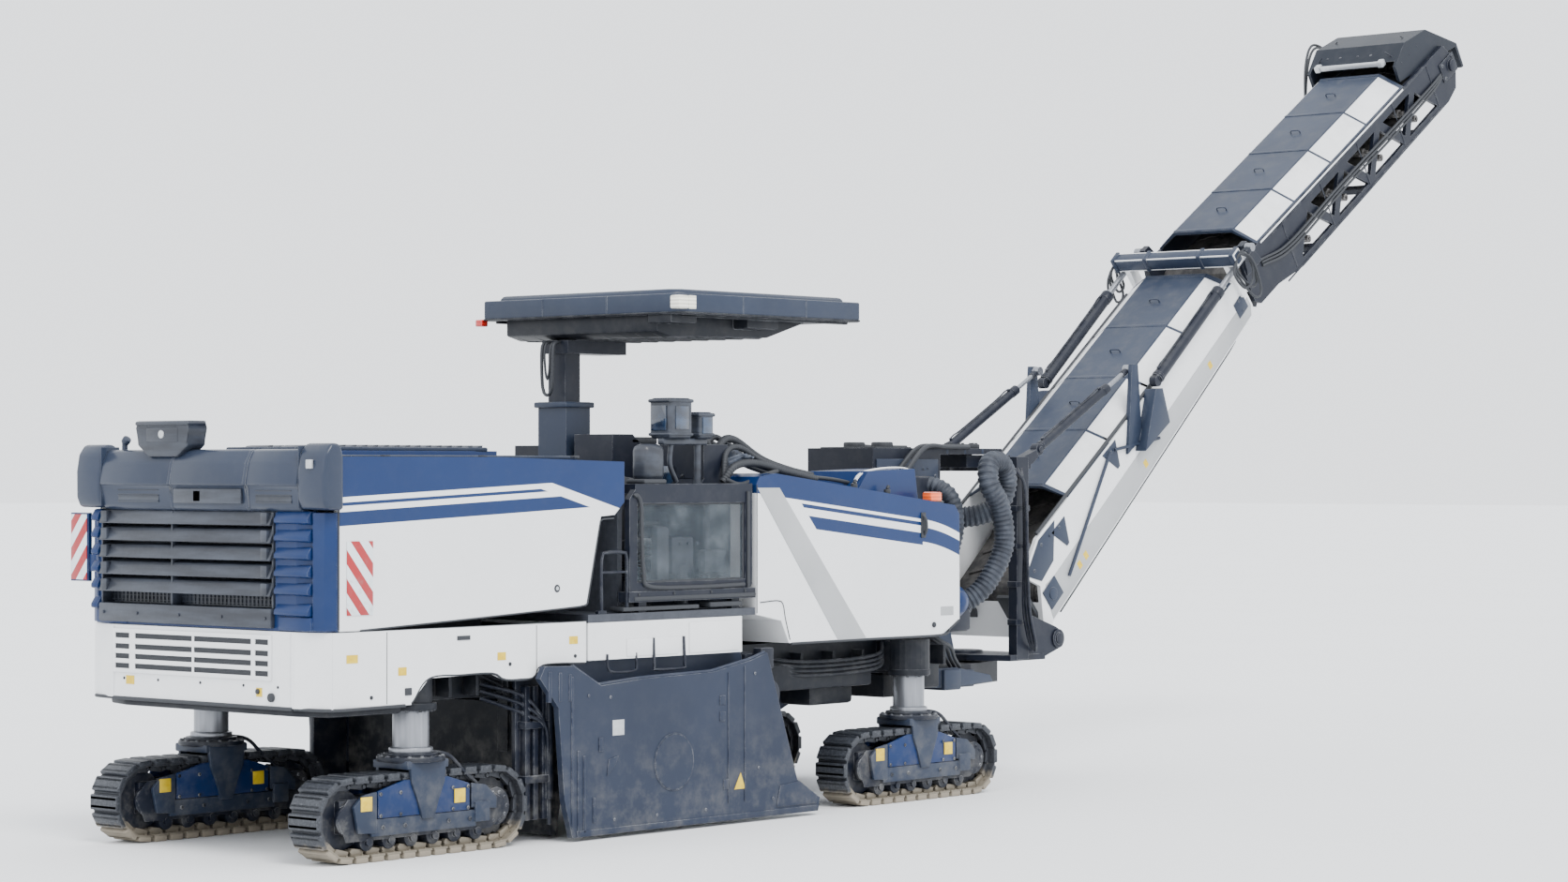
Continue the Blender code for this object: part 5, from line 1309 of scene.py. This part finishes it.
for side, sign in SIDES.items():
    body = "side_plate_" + side
    face = sign * 1.325
    mesh = bmesh.new()
    for x, low, high in ((2.225, 0.10, 1.16), (2.285, 0.06, 0.64), (2.345, 0.06, 0.60), (2.44, 0.12, 0.30)):
        block(mesh, (x, x + 0.022), sorted((face - sign * 0.002, face + sign * 0.007)), (low, high), 0.004)
    for x, z in ((2.00, 1.205), (2.10, 1.195), (2.20, 1.18)):
        block(mesh, (x, x + 0.03), sorted((face - sign * 0.03, face + sign * 0.006)), (0.99, z), 0.006)
    prism(mesh, "Y", *sorted((face - sign * 0.002, face + sign * 0.007)),
          [(2.28, 0.03), (4.86, 0.03), (4.88, 0.075), (2.28, 0.075)], 0.004)
    prism(mesh, "Y", *sorted((face - sign * 0.002, face + sign * 0.008)),
          [(4.40, 0.09), (4.86, 0.09), (4.86, 0.15), (4.66, 0.27), (4.44, 0.25)], 0.008)
    block(mesh, (3.86, 3.872), sorted((face, face + sign * 0.006)), (0.16, 1.12), 0.002)
    block(mesh, (4.04, 4.052), sorted((face, face + sign * 0.006)), (0.16, 1.16), 0.002)
    block(mesh, (2.50, 2.54), sorted((face, face + sign * 0.008)), (0.62, 0.72), 0.005)
    prism(mesh, "Y", *sorted((face, face + sign * 0.006)),
          [(2.60, 0.56), (2.70, 0.58), (2.66, 0.50), (2.58, 0.44)],
          0.003)
    for x, z in ((3.80, 0.92), (3.80, 0.80), (3.84, 0.30)):
        block(mesh, (x - 0.03, x + 0.03), sorted((face, face + sign * 0.006)), (z - 0.035, z + 0.035), 0.004)
    ring = [(3.28 + 0.205 * math.cos(math.tau * k / 48), 0.50 + 0.205 * math.sin(math.tau * k / 48))
            for k in range(49)]
    hose(mesh, [(x, sign * 1.326, z) for x, z in ring], 0.006, 0.0, 8)
    rod(mesh, (3.28, sign * 1.33, 0.50), (3.28, sign * 1.3325, 0.50), 0.165, 48, 0.001)
    edge_line = [(2.26, 1.232), (2.52, 1.09), (2.95, 1.118), (3.70, 1.133), (4.12, 1.203), (4.29, 1.248)]
    for a, b in zip(edge_line, edge_line[1:]):
        hose(mesh, [(a[0], sign * 1.30, a[1]), ((a[0] + b[0]) / 2, sign * 1.30, (a[1] + b[1]) / 2),
                    (b[0], sign * 1.30, b[1])], 0.016)
    bolts(mesh, [(x, face, z) for x, z in ((2.40, 1.02), (2.62, 1.00), (4.16, 1.10), (4.20, 0.40),
                                           (4.36, 0.16),
                                           (4.74, 0.12), (3.62, 0.13), (3.10, 0.13), (2.66, 0.13))],
          (0, sign, 0), 0.0085)
    hose(mesh, [(4.305, sign * 1.285, 1.235), (4.475, sign * 1.285, 0.755), (4.64, sign * 1.285, 0.285)],
         0.020)
    piece(mesh, f"side_plate_ribs_{side}", body, scuffed_and_edge_lit_slate)

    mesh = bmesh.new()
    block(mesh, (2.64, 2.76), sorted((face, face + sign * 0.003)), (0.725, 0.835), 0.001)
    piece(mesh, f"side_plate_blank_{side}", body, bare_aluminium)
    mesh = bmesh.new()
    prism(mesh, "Y", *sorted((face, face + sign * 0.003)), [(3.93, 0.255), (4.05, 0.255), (4.00, 0.375)],
          0.001)
    piece(mesh, f"side_plate_mark_{side}", body, yellow_plate)

    mesh = bmesh.new()
    wall = sign * 1.14
    for x in (1.96, 2.04, 2.13):
        block(mesh, (x, x + 0.05), sorted((wall, wall - sign * 0.06)), (0.16, 1.10), 0.008)
    block(mesh, (1.92, 2.24), sorted((wall - sign * 0.06, wall - sign * 0.10)), (0.20, 1.24), 0.006)
    for z in (0.42, 0.80):
        block(mesh, (1.94, 2.22), sorted((wall + sign * 0.02, wall - sign * 0.08)), (z, z + 0.05), 0.006)
    rod(mesh, (2.19, wall, 0.30), (2.19, wall, 1.05), 0.030, 20, 0.004)
    rod(mesh, (2.19, wall, 0.12), (2.19, wall, 0.32), 0.016, 16)
    for k in range(3):
        hose(mesh, [(1.75, sign * 0.9, 1.12 - 0.05 * k), (1.98, wall - sign * 0.02, 1.02 - 0.06 * k),
                    (2.14, wall + sign * 0.02, 0.80), (2.17, wall, 0.55 - 0.04 * k)], 0.014)
    block(mesh, (4.32, 4.46), sorted((sign * 1.16, sign * 1.25)), (1.12, 1.28), 0.012)
    rod(mesh, (4.47, sign * 1.05, 0.92), (4.47, sign * 1.20, 0.92), 0.12, 32, 0.012)
    rod(mesh, (4.47, sign * 1.04, 0.92), (4.47, sign * 1.23, 0.92), 0.05, 24, 0.006)
    block(mesh, (4.24, 4.42), sorted((sign * 0.90, sign * 1.16)), (0.98, 1.24), 0.02)
    piece(mesh, f"plate_guides_{side}", "root", navy_enamel)

# ---- slewing gantry, yoke and dust hoses ---------------------------------------------------
# A slate frame at the nose carries the slewing yoke top and bottom. Fans above the primary
# conveyor draw dust off through corrugated hoses that loop up beside the gantry.

dress(navy_enamel, "slew_gantry", "slew_yoke")
mesh = bmesh.new()
for sign in SIDES.values():
    side_wall = sorted((sign * 0.345, sign * 0.362))
    prism(mesh, "Y", *side_wall, [(6.74, 2.12), (6.96, 2.12), (7.18, 2.47), (7.54, 2.50), (7.54, 2.70),
                                  (6.74, 2.70)],
          0.006)
    for x in (7.66, 7.90, 8.14):
        block(mesh, (x, x + 0.03), sorted((sign * 0.30, sign * 0.352)), (2.742, 2.786), 0.004)
    block(mesh, (6.72, 6.88), sorted((sign * 0.56, sign * 0.80)), (1.50, 2.30), 0.02)
    block(mesh, (6.715, 6.80), sorted((sign * 0.72, sign * 1.12)), (1.72, 2.20), 0.02)
    prism(mesh, "Y", *sorted((sign * 0.62, sign * 0.66)),
          [(6.72, 0.98), (7.40, 0.98), (7.86, 0.90), (7.90, 0.84),
                                                           (7.30, 0.82), (6.72, 0.84)], 0.006)
    prism(mesh, "Y", *sorted((sign * 0.60, sign * 0.64)),
          [(6.74, 1.0), (7.16, 1.0), (7.10, 1.40), (6.74, 1.46)], 0.008)
    block(mesh, (7.20, 7.42), sorted((sign * 0.44, sign * 0.70)), (0.80, 0.97), 0.012)
    block(mesh, (7.46, 7.70), sorted((sign * 0.43, sign * 0.62)), (0.81, 0.95), 0.012)
    prism(mesh, "Y", *sorted((sign * 0.40, sign * 0.46)),
          [(7.30, 1.0), (7.66, 1.02), (7.56, 1.34), (7.34, 1.40)], 0.006)
bolts(mesh, [(6.86 + 0.18 * k, sign * 0.362, 2.62) for k in range(4) for sign in SIDES.values()], (0, 0, 1),
      0.010)
for sign in SIDES.values():
    bolts(mesh, [(x, sign * 0.361, z) for x, z in ((6.82, 2.62), (7.10, 2.62), (7.34, 2.62), (7.50, 2.56),
                                                   (6.82, 2.20), (6.82, 2.42))], (0, sign, 0), 0.010)
piece(mesh, "gantry_plates", "root", slate_enamel)

mesh = bmesh.new()
block(mesh, (6.80, 7.26), (-0.30, 0.30), (2.785, 2.80), 0.004)
for y in (-0.20, 0.10):
    rod(mesh, (7.0, y, 2.78), (7.0, y, 2.84), 0.09, 28, 0.012)
rod(mesh, (8.30, 0.0, 2.785), (8.30, 0.0, 2.83), 0.16, 40, 0.010)
bolts(mesh, [(8.30 + 0.13 * math.cos(a), 0.13 * math.sin(a),
              2.83) for a in (math.tau * k / 8 for k in range(8))],
      (0, 0, 1), 0.012)
for y, deep in ((-0.30, 0.02), (-0.36, 0.0), (0.32, 0.02)):
    hose(mesh, [(6.72, y, 2.35), (6.95, y * 1.25, 2.55 + deep), (7.25, y * 1.25, 2.79),
                (7.60, y * 1.1, 2.80),
                (7.95, y, 2.80)], 0.020)
for k in range(4):
    y = -0.50 - 0.045 * k
    hose(mesh, [(6.90, y, 1.96), (7.05, y - 0.12, 1.80 - 0.06 * k), (7.12, y - 0.10, 1.50), (7.06, y, 1.18)],
         0.018)
    hose(mesh, [(6.90, -y, 1.96), (7.05, -y + 0.12, 1.80 - 0.06 * k), (7.12, -y + 0.10, 1.50),
                (7.06, -y, 1.18)], 0.018)
for k in range(3):
    y = -0.66 - 0.05 * k
    hose(mesh, [(6.82, y, 1.34), (7.00, y - 0.06, 1.22), (7.20, y, 1.16), (7.38, y + 0.10, 1.06),
                (7.52, y + 0.16, 0.98)], 0.016)
piece(mesh, "gantry_hoses", "root", rubber_trim)

made, shader, place, facing = begin("hose_rubber")
dusty = place.noise(8.0, 6.0, 0.65)
connect(shader, Base_Color=dusty.step(0.35, 0.75).blend((0.012, 0.016, 0.026), (0.050, 0.060, 0.080)),
        Roughness=0.6,
        Normal=dusty.bump(0.2, 0.003))
hose_rubber = made
DUST_HOSES = {
    "right": ((7.16, -0.88, 1.50), (7.34, -1.00, 1.66), (7.52, -1.06, 1.98), (7.49, -1.05, 2.30),
              (7.38, -1.02, 2.50), (7.44, -0.98, 2.66), (7.62, -0.96, 2.66), (7.72, -0.94, 2.50),
              (7.68, -0.86, 2.30), (7.50, -0.66, 2.22), (7.30, -0.46, 2.30)),
    "left": ((7.16, 0.88, 1.50), (7.30, 0.98, 1.70), (7.42, 1.00, 2.00), (7.38, 0.96, 2.30),
             (7.40, 0.84, 2.52), (7.48, 0.66, 2.60), (7.44, 0.46, 2.56)),
    "inner": ((7.12, -0.66, 1.62), (7.20, -0.74, 1.90), (7.24, -0.78, 2.15), (7.20, -0.76, 2.38),
              (7.14, -0.62, 2.48), (7.12, -0.46, 2.44)),
}
mesh = bmesh.new()
for path in DUST_HOSES.values():
    hose(mesh, path, 0.088 if path[0][1] < -0.7 else 0.075, 0.040, 20)
piece(mesh, "dust_hoses", "root", hose_rubber, angle=25.0)

mesh = bmesh.new()
for path in DUST_HOSES.values():
    for end, inner in ((path[0], path[1]), (path[-1], path[-2])):
        along = (Vector(end) - Vector(inner)).normalized()
        rod(mesh, Vector(end) - along * 0.06, Vector(end) + along * 0.05, 0.096, 28, 0.006)
        rod(mesh, Vector(end) - along * 0.045, Vector(end) - along * 0.030, 0.101, 28, 0.002)
block(mesh, (6.90, 7.20), (-0.98, -0.62), (1.30, 1.50), 0.03)
block(mesh, (6.90, 7.20), (0.62, 0.98), (1.30, 1.50), 0.03)
block(mesh, (6.92, 7.16), (-0.62, -0.36), (2.30, 2.56), 0.03)
block(mesh, (7.18, 7.50), (0.34, 0.50), (2.46, 2.66), 0.03)
block(mesh, (7.16, 7.40), (-0.50, -0.34), (2.20, 2.42), 0.03)
piece(mesh, "dust_fan_ducts", "root", navy_enamel)

mesh = bmesh.new()
for sign in SIDES.values():
    for z in (1.30, 1.62, 1.94, 2.26):
        block(mesh, (8.205, 8.395), sorted((sign * 0.570, sign * 0.672)), (z, z + 0.05), 0.006)
    bolts(mesh, [(8.30, sign * 0.672, z) for z in (1.325, 1.645, 1.965, 2.285)], (0, sign, 0), 0.012)
    rod(mesh, (8.80, sign * 0.566, 1.17), (8.80, sign * 0.69, 1.17), 0.050, 28, 0.006)
    rod(mesh, (8.80, sign * 0.655, 1.17), (8.80, sign * 0.672, 1.17), 0.080, 28, 0.004)
    rod(mesh, (8.715, sign * 0.455, 2.785), (8.715, sign * 0.55, 2.785), 0.026, 20, 0.004)
    for k in range(3):
        y = sign * (0.705 + 0.03 * k)
        hose(mesh, [(8.28 - 0.04 * k, sign * 0.66, 2.62), (8.26 - 0.03 * k, y, 2.45),
                    (8.27 - 0.02 * k, y, 1.95),
                    (8.26, y, 1.45), (8.34, y, 1.16), (8.46, sign * 0.68, 1.08)], 0.014)
rod(mesh, (8.30, 0.0, 0.985), (8.30, 0.0, 1.07), 0.19, 40, 0.010)
rod(mesh, (8.30, 0.0, 2.60), (8.30, 0.0, 2.74), 0.10, 32, 0.008)
piece(mesh, "yoke_fittings", "slew", navy_enamel)

# ---- lower conveyor ------------------------------------------------------------------------
# The first discharge belt runs between white side panels, grey in their lower half, under
# covers with a flat slate top and pale bevels. Conveyor shapes are drawn along their slope:
# the distance ahead of the fold pin, and the height off it.

PIN = Matrix.Translation((12.05, 0.0, 4.06))
LOWER = PIN @ Matrix.Rotation(-math.atan2(2.89, 3.25), 4, "Y")
LOWER_TOP = LOWER @ Matrix.Translation((-3.33, 0.0, 0.702)) @ Matrix.Rotation(0.067, 4, "Y")
TAIL = -4.349

dress(white_enamel, "lower_conveyor_frame")
dress(slate_enamel, "lower_conveyor_covers")
made, shader, place, facing = begin("belt_rubber")
dusty = place.noise(5.0, 7.0, 0.7)
connect(shader, Base_Color=dusty.step(0.35, 0.7).blend((0.012, 0.012, 0.014), (0.085, 0.080, 0.075)),
        Roughness=0.75,
        Normal=dusty.bump(0.3, 0.003))
belt_rubber = made
dress(belt_rubber, "lower_belt", "upper_belt")


def cleats(mesh, start, end, top):
    """Chevron ribs moulded on the carrying side of a belt."""
    for k in range(round((end - start) / 0.26)):
        s = start + 0.26 * k
        for sign in SIDES.values():
            prism(mesh, "Z", top - 0.002, top + 0.016, [(s, 0.0), (s + 0.03, 0.0), (s - 0.12, sign * 0.36),
                                                        (s - 0.15, sign * 0.36)], 0.004)


def covers(mesh, length, rise):
    """Pale plates on the bevels of a row of covers, in four lengths."""
    for k in range(4):
        low = 0.03 + k * (length - 0.06) / 4
        for sign in SIDES.values():
            prism(mesh, "X", low, low + (length - 0.06) / 4 - 0.03,
                  [(sign * u, rise * (0.55 - u) / 0.22 + v) for u,
                   v in ((0.345, 0.0), (0.535, 0.0), (0.535, 0.005),
                                                                         (0.345, 0.005))], 0.0015)


def seams(mesh, length, rise):
    """Lapped joints and small handles on the flat of a row of covers."""
    for k in range(5):
        x = 0.01 + k * (length - 0.06) / 4
        block(mesh, (x, x + 0.035), (-0.335, 0.335), (rise - 0.004, rise + 0.006), 0.003)
        if k < 4:
            x += (length - 0.06) / 8
            hose(mesh, [(x, -0.05, rise), (x, -0.045, rise + 0.03), (x, 0.045, rise + 0.03),
                        (x, 0.05, rise)], 0.006)


mesh = bmesh.new()
covers(mesh, 3.17, 0.13)
piece(mesh, "lower_cover_bevels", "lower_conveyor", white_enamel, LOWER_TOP)
mesh = bmesh.new()
seams(mesh, 3.17, 0.13)
piece(mesh, "lower_cover_seams", "lower_conveyor", slate_enamel, LOWER_TOP)

mesh = bmesh.new()
cleats(mesh, TAIL + 0.55, -0.30, 0.34)
piece(mesh, "lower_belt_cleats", "lower_conveyor", belt_rubber, LOWER)
mesh = bmesh.new()
for s in (TAIL + 0.30, -3.3, -2.5, -1.7, -0.9, -0.17):
    end_roller = s in (TAIL + 0.30, -0.17)
    rod(mesh, (s, -0.50, 0.24), (s, 0.50, 0.24), 0.085 if end_roller else 0.050, 28, 0.004)
    rod(mesh, (s, -0.514, 0.24), (s, 0.514, 0.24), 0.022, 16)
piece(mesh, "lower_rollers", "lower_conveyor", worn_steel, LOWER)

mesh = bmesh.new()
for sign in SIDES.values():
    skin = sorted((sign * 0.5495, sign * 0.5525))
    prism(mesh, "Y", *skin, [(TAIL + 0.17, 0.062), (-0.10, 0.062), (-0.045, 0.14), (-0.045, 0.235),
                             (TAIL + 0.42, 0.335), (TAIL + 0.28, 0.36), (TAIL + 0.20, 0.18)], 0.001)
piece(mesh, "lower_panel_grey", "lower_conveyor", grey_enamel_and_painted_shade, LOWER)
mesh = bmesh.new()
for sign in SIDES.values():
    skin = sorted((sign * 0.5520, sign * 0.5535))
    for s in (-3.62, -3.50, -2.30, -0.95):
        block(mesh, (s, s + 0.055), skin, (0.12, 0.19), 0.0)
piece(mesh, "lower_blank_marks", "lower_conveyor", yellow_plate, LOWER)

mesh = bmesh.new()
for sign in SIDES.values():
    skin = sorted((sign * 0.5495, sign * 0.5560))
    prism(mesh, "Y", *skin, [(TAIL + 0.13, 0.60), (TAIL + 0.46, 0.715), (TAIL + 0.74, 0.69),
                             (TAIL + 0.50, 0.44),
                             (TAIL + 0.26, 0.42)], 0.003)
    block(mesh, (TAIL + 0.20, TAIL + 0.42), sorted((sign * 0.549, sign * 0.562)), (0.14, 0.34), 0.006)
    rod(mesh, (TAIL + 0.30, sign * 0.55, 0.24), (TAIL + 0.30, sign * 0.572, 0.24), 0.055, 24, 0.005)
    block(mesh, (-0.27, -0.09), sorted((sign * 0.549, sign * 0.558)), (0.16, 0.32), 0.005)
    for s in (-3.72, -2.72):
        prism(mesh, "Y", *sorted((sign * 0.549, sign * 0.556)),
              [(s, 0.64), (s + 0.24, 0.62), (s + 0.14, 0.40),
                                                                 (s + 0.10, 0.40)], 0.003)
    rod(mesh, (-3.78, sign * 0.566, 0.20), (-2.62, sign * 0.566, 0.60), 0.015, 14)
    rod(mesh, (-2.56, sign * 0.566, 0.57), (-1.98, sign * 0.566, 0.20), 0.015, 14)
    bolts(mesh, [(s, sign * 0.556, n) for s, n in ((TAIL + 0.24, 0.56), (TAIL + 0.46, 0.66),
                                                   (TAIL + 0.60, 0.64),
                                                   (-3.60, 0.60), (-2.60, 0.58), (-0.18, 0.30),
                                                   (-0.18, 0.18))],
          (0, sign, 0), 0.011)
block(mesh, (-0.133, -0.017), (-0.693, 0.693), (0.657, 0.793), 0.02)
for y in (-0.66, -0.30, 0.30, 0.66):
    block(mesh, (-0.142, -0.008), (y - 0.02, y + 0.02), (0.650, 0.803), 0.008)
piece(mesh, "lower_slate_parts", "lower_conveyor", slate_enamel, LOWER)

mesh = bmesh.new()
for sign in SIDES.values():
    prism(mesh, "Y", *sorted((sign * 0.536, sign * 0.579)),
          [(9.945, 2.745), (10.155, 2.895), (10.094, 3.544),
                                                             (10.006, 3.544)], 0.003)
    prism(mesh, "Y", *sorted((sign * 0.536, sign * 0.664)),
          [(10.093, 2.775), (10.466, 3.035), (10.353, 3.336),
                                                             (10.247, 3.326)], 0.003)
piece(mesh, "cylinder_brackets", "lower_conveyor", slate_enamel)

mesh = bmesh.new()
for sign in SIDES.values():
    rod(mesh, (-3.86, sign * 0.533, 0.758), (-0.30, sign * 0.533, 0.519), 0.016, 14)
    hose(mesh, [(TAIL + 0.30, sign * 0.532, 0.03), (-3.0, sign * 0.532, 0.034), (-1.6, sign * 0.532, 0.034),
                (-0.55, sign * 0.532, 0.036), (-0.45, sign * 0.525, 0.06)], 0.013)
    hose(mesh, [(TAIL + 0.34, sign * 0.50, 0.02), (-3.0, sign * 0.50, 0.03), (-0.70, sign * 0.50, 0.03),
                (-0.60, sign * 0.50, 0.08)], 0.011)
    block(mesh, (TAIL + 0.06, TAIL + 0.10), sorted((sign * 0.16, sign * 0.50)), (0.02, 0.40), 0.006)
    for k, (drop, out) in enumerate(((0.30, 0.745), (0.38, 0.775), (0.24, 0.760))):
        y = sign * 0.708
        hose(mesh, [(-0.045 - 0.03 * k, sign * 0.69, 0.73), (-0.02 - 0.02 * k, y, 0.75),
                    (-0.015, sign * out, 0.64),
                    (-0.05 - 0.03 * k, sign * out, 0.73 - drop), (-0.16 - 0.05 * k, sign * out, 0.75 - drop),
                    (-0.19 - 0.03 * k, y, 0.66), (-0.12, sign * 0.69, 0.72)], 0.012)
piece(mesh, "lower_hoses", "lower_conveyor", rubber_trim, LOWER)

# ---- upper conveyor ------------------------------------------------------------------------
# The second belt runs in two open trusses under the same kind of covers, out to a drive drum
# with its motor and a hood that turns the stream down.

UPPER = PIN @ Matrix.Rotation(math.radians(-33.5), 4, "Y")
UPPER_TOP = UPPER @ Matrix.Translation((0.34, 0.0, 0.552)) @ Matrix.Rotation(0.011, 4, "Y")
hood_slate = enamel("hood_slate", (0.007, 0.011, 0.020), 0.45, 0.3, 0.4, 0.15)

dress(slate_enamel, "upper_conveyor_covers")
dress(navy_enamel, "upper_conveyor_frame")
dress(hood_slate, "discharge_hood")
mesh = bmesh.new()
covers(mesh, 3.08, 0.16)
for sign in SIDES.values():
    block(mesh, (0.05, 3.05), sorted((sign * 0.552, sign * 0.556)), (-0.028, -0.010), 0.001)
piece(mesh, "upper_cover_bevels", "upper_conveyor", white_enamel, UPPER_TOP)
mesh = bmesh.new()
seams(mesh, 3.08, 0.16)
piece(mesh, "upper_cover_seams", "upper_conveyor", slate_enamel, UPPER_TOP)

mesh = bmesh.new()
cleats(mesh, 0.35, 4.30, 0.40)
piece(mesh, "upper_belt_cleats", "upper_conveyor", belt_rubber, UPPER)
mesh = bmesh.new()
for s in (0.24, 1.0, 1.78, 2.55, 3.33, 4.31):
    end_roller = s in (0.24, 4.31)
    rod(mesh, (s, -0.47, 0.27), (s, 0.47, 0.27), 0.112 if end_roller else 0.040, 28, 0.004)
    rod(mesh, (s, -0.512, 0.27), (s, 0.512, 0.27), 0.022, 16)
    if not end_roller:
        rod(mesh, (s + 0.2, -0.50, 0.098), (s + 0.2, 0.50, 0.098), 0.036, 20, 0.003)
        rod(mesh, (s + 0.2, -0.512, 0.098), (s + 0.2, 0.512, 0.098), 0.014, 12)
piece(mesh, "upper_rollers", "upper_conveyor", worn_steel, UPPER)

mesh = bmesh.new()
for sign in SIDES.values():
    outer = sorted((sign * 0.549, sign * 0.5545))
    block(mesh, (0.60, 3.95), outer, (0.480, 0.500), 0.004)
    block(mesh, (0.60, 3.95), outer, (-0.022, -0.004), 0.004)
    for k in range(5):
        s = 0.80 + 0.775 * k
        block(mesh, (s, s + 0.018), outer, (0.02, 0.48), 0.003)
    block(mesh, (4.12, 4.42), sorted((sign * 0.549, sign * 0.565)), (0.17, 0.37), 0.010)
    rod(mesh, (4.31, sign * 0.56, 0.27), (4.31, sign * 0.60, 0.27), 0.062, 28, 0.008)
    bolts(mesh, [(s, sign * 0.565, n) for s, n in ((4.16, 0.20), (4.16, 0.34), (4.38, 0.20), (4.38, 0.34))],
          (0, sign, 0), 0.013)
    for k in range(3):
        prism(mesh, "X", 3.58 + 0.17 * k, 3.59 + 0.17 * k,
              [(sign * u, v) for u, v in ((0.36, 0.822), (0.505, 0.690), (0.512, 0.697), (0.367, 0.829))],
              0.001)
    bolts(mesh, [(3.50, sign * y, 0.845) for y in (0.10, 0.25)], (0, 0, 1), 0.010)
rod(mesh, (4.31, 0.59, 0.27), (4.31, 0.70, 0.27), 0.095, 32, 0.010)
rod(mesh, (4.31, 0.70, 0.27), (4.31, 0.80, 0.27), 0.070, 28, 0.010)
block(mesh, (4.24, 4.38), (0.72, 0.80), (0.33, 0.40), 0.010)
block(mesh, (4.40, 4.46), (-0.18, 0.18), (0.00, 0.07), 0.010)
piece(mesh, "upper_truss_parts", "upper_conveyor", navy_enamel, UPPER)

mesh = bmesh.new()
block(mesh, (3.44, 3.475), (-0.40, 0.40), (0.742, 0.790), 0.008)
for y in (-0.36, 0.36):
    block(mesh, (3.43, 3.50), (y - 0.03, y + 0.03), (0.735, 0.80), 0.008)
piece(mesh, "hood_bar", "upper_conveyor", bare_aluminium, UPPER)

mesh = bmesh.new()
for sign in SIDES.values():
    for k in range(3):
        hose(mesh, [(0.30, sign * 0.556, 0.40 - 0.03 * k), (0.80, sign * 0.575, 0.30 - 0.035 * k),
                    (1.90, sign * 0.575, 0.31 - 0.035 * k), (3.00, sign * 0.575, 0.29 - 0.035 * k),
                    (3.80, sign * 0.572, 0.28 - 0.03 * k), (4.10, sign * 0.556, 0.28 - 0.02 * k)], 0.012)
for k in range(2):
    hose(mesh, [(3.30, 0.56, 0.40), (3.62, 0.62, 0.66 + 0.05 * k), (3.95, 0.70, 0.74 + 0.05 * k),
                (4.22, 0.76, 0.62), (4.30, 0.76, 0.39)], 0.013)
block(mesh, (4.50, 4.612), (-0.46, 0.46), (0.30, 0.318), 0.004)
piece(mesh, "upper_hoses", "upper_conveyor", rubber_trim, UPPER)

mesh = bmesh.new()
block(mesh, (4.455, 4.475), (-0.15, 0.15), (0.012, 0.058), 0.006)
piece(mesh, "head_lamp_lens", "upper_conveyor", clear_lens, UPPER)

# ---- lift and fold cylinders ---------------------------------------------------------------
# Two pairs of cylinders raise the lower conveyor and fold the upper one. Dark barrels have a
# screwed gland, end bosses and a pipe to the rod end, and the rods are chromed.

CYLINDERS = {"lift": ((8.715, 2.785), (10.05, 3.50), 0.50, 0.040, 1.15),
             "fold": ((10.30, 3.40), (11.80, 4.66), 0.62, 0.055, 1.30)}
for kind, (foot, head, offset, radius, length) in CYLINDERS.items():
    for side, sign in SIDES.items():
        dress(navy_enamel, f"{kind}_cylinder_{side}_barrel")
        dress(leg_chrome, f"{kind}_cylinder_{side}_rod")
        start = Vector((foot[0], sign * offset, foot[1]))
        along = (Vector((head[0], sign * offset, head[1])) - start).normalized()
        up = Vector((-along.z, 0.0, along.x))
        mesh = bmesh.new()
        rod(mesh, start + along * (length - 0.075), start + along * (length + 0.004), radius * 1.09, 28,
            0.002)
        rod(mesh, start + along * 0.05, start + along * 0.075, radius * 1.08, 28, 0.002)
        for here in (0.11, length - 0.10):
            spot = start + along * here + up * (radius - 0.004)
            rod(mesh, spot, spot + up * 0.022, 0.014, 14, 0.003)
        pipe = [start + along * t + up * (radius + h) for t, h in
                ((0.11, 0.014), (0.16, 0.020), (0.30, 0.012), (length - 0.30, 0.012), (length - 0.16, 0.020),
                 (length - 0.10, 0.014))]
        hose(mesh, pipe, 0.007)
        piece(mesh, f"{kind}_barrel_fittings_{side}", f"{kind}_barrel_{side}", navy_enamel)
        mesh = bmesh.new()
        end = Vector((head[0], sign * offset, head[1]))
        rod(mesh, end - along * 0.10, end - along * 0.04, radius * 0.75, 20, 0.005)
        piece(mesh, f"{kind}_rod_boss_{side}", f"{kind}_rod_{side}", navy_enamel)
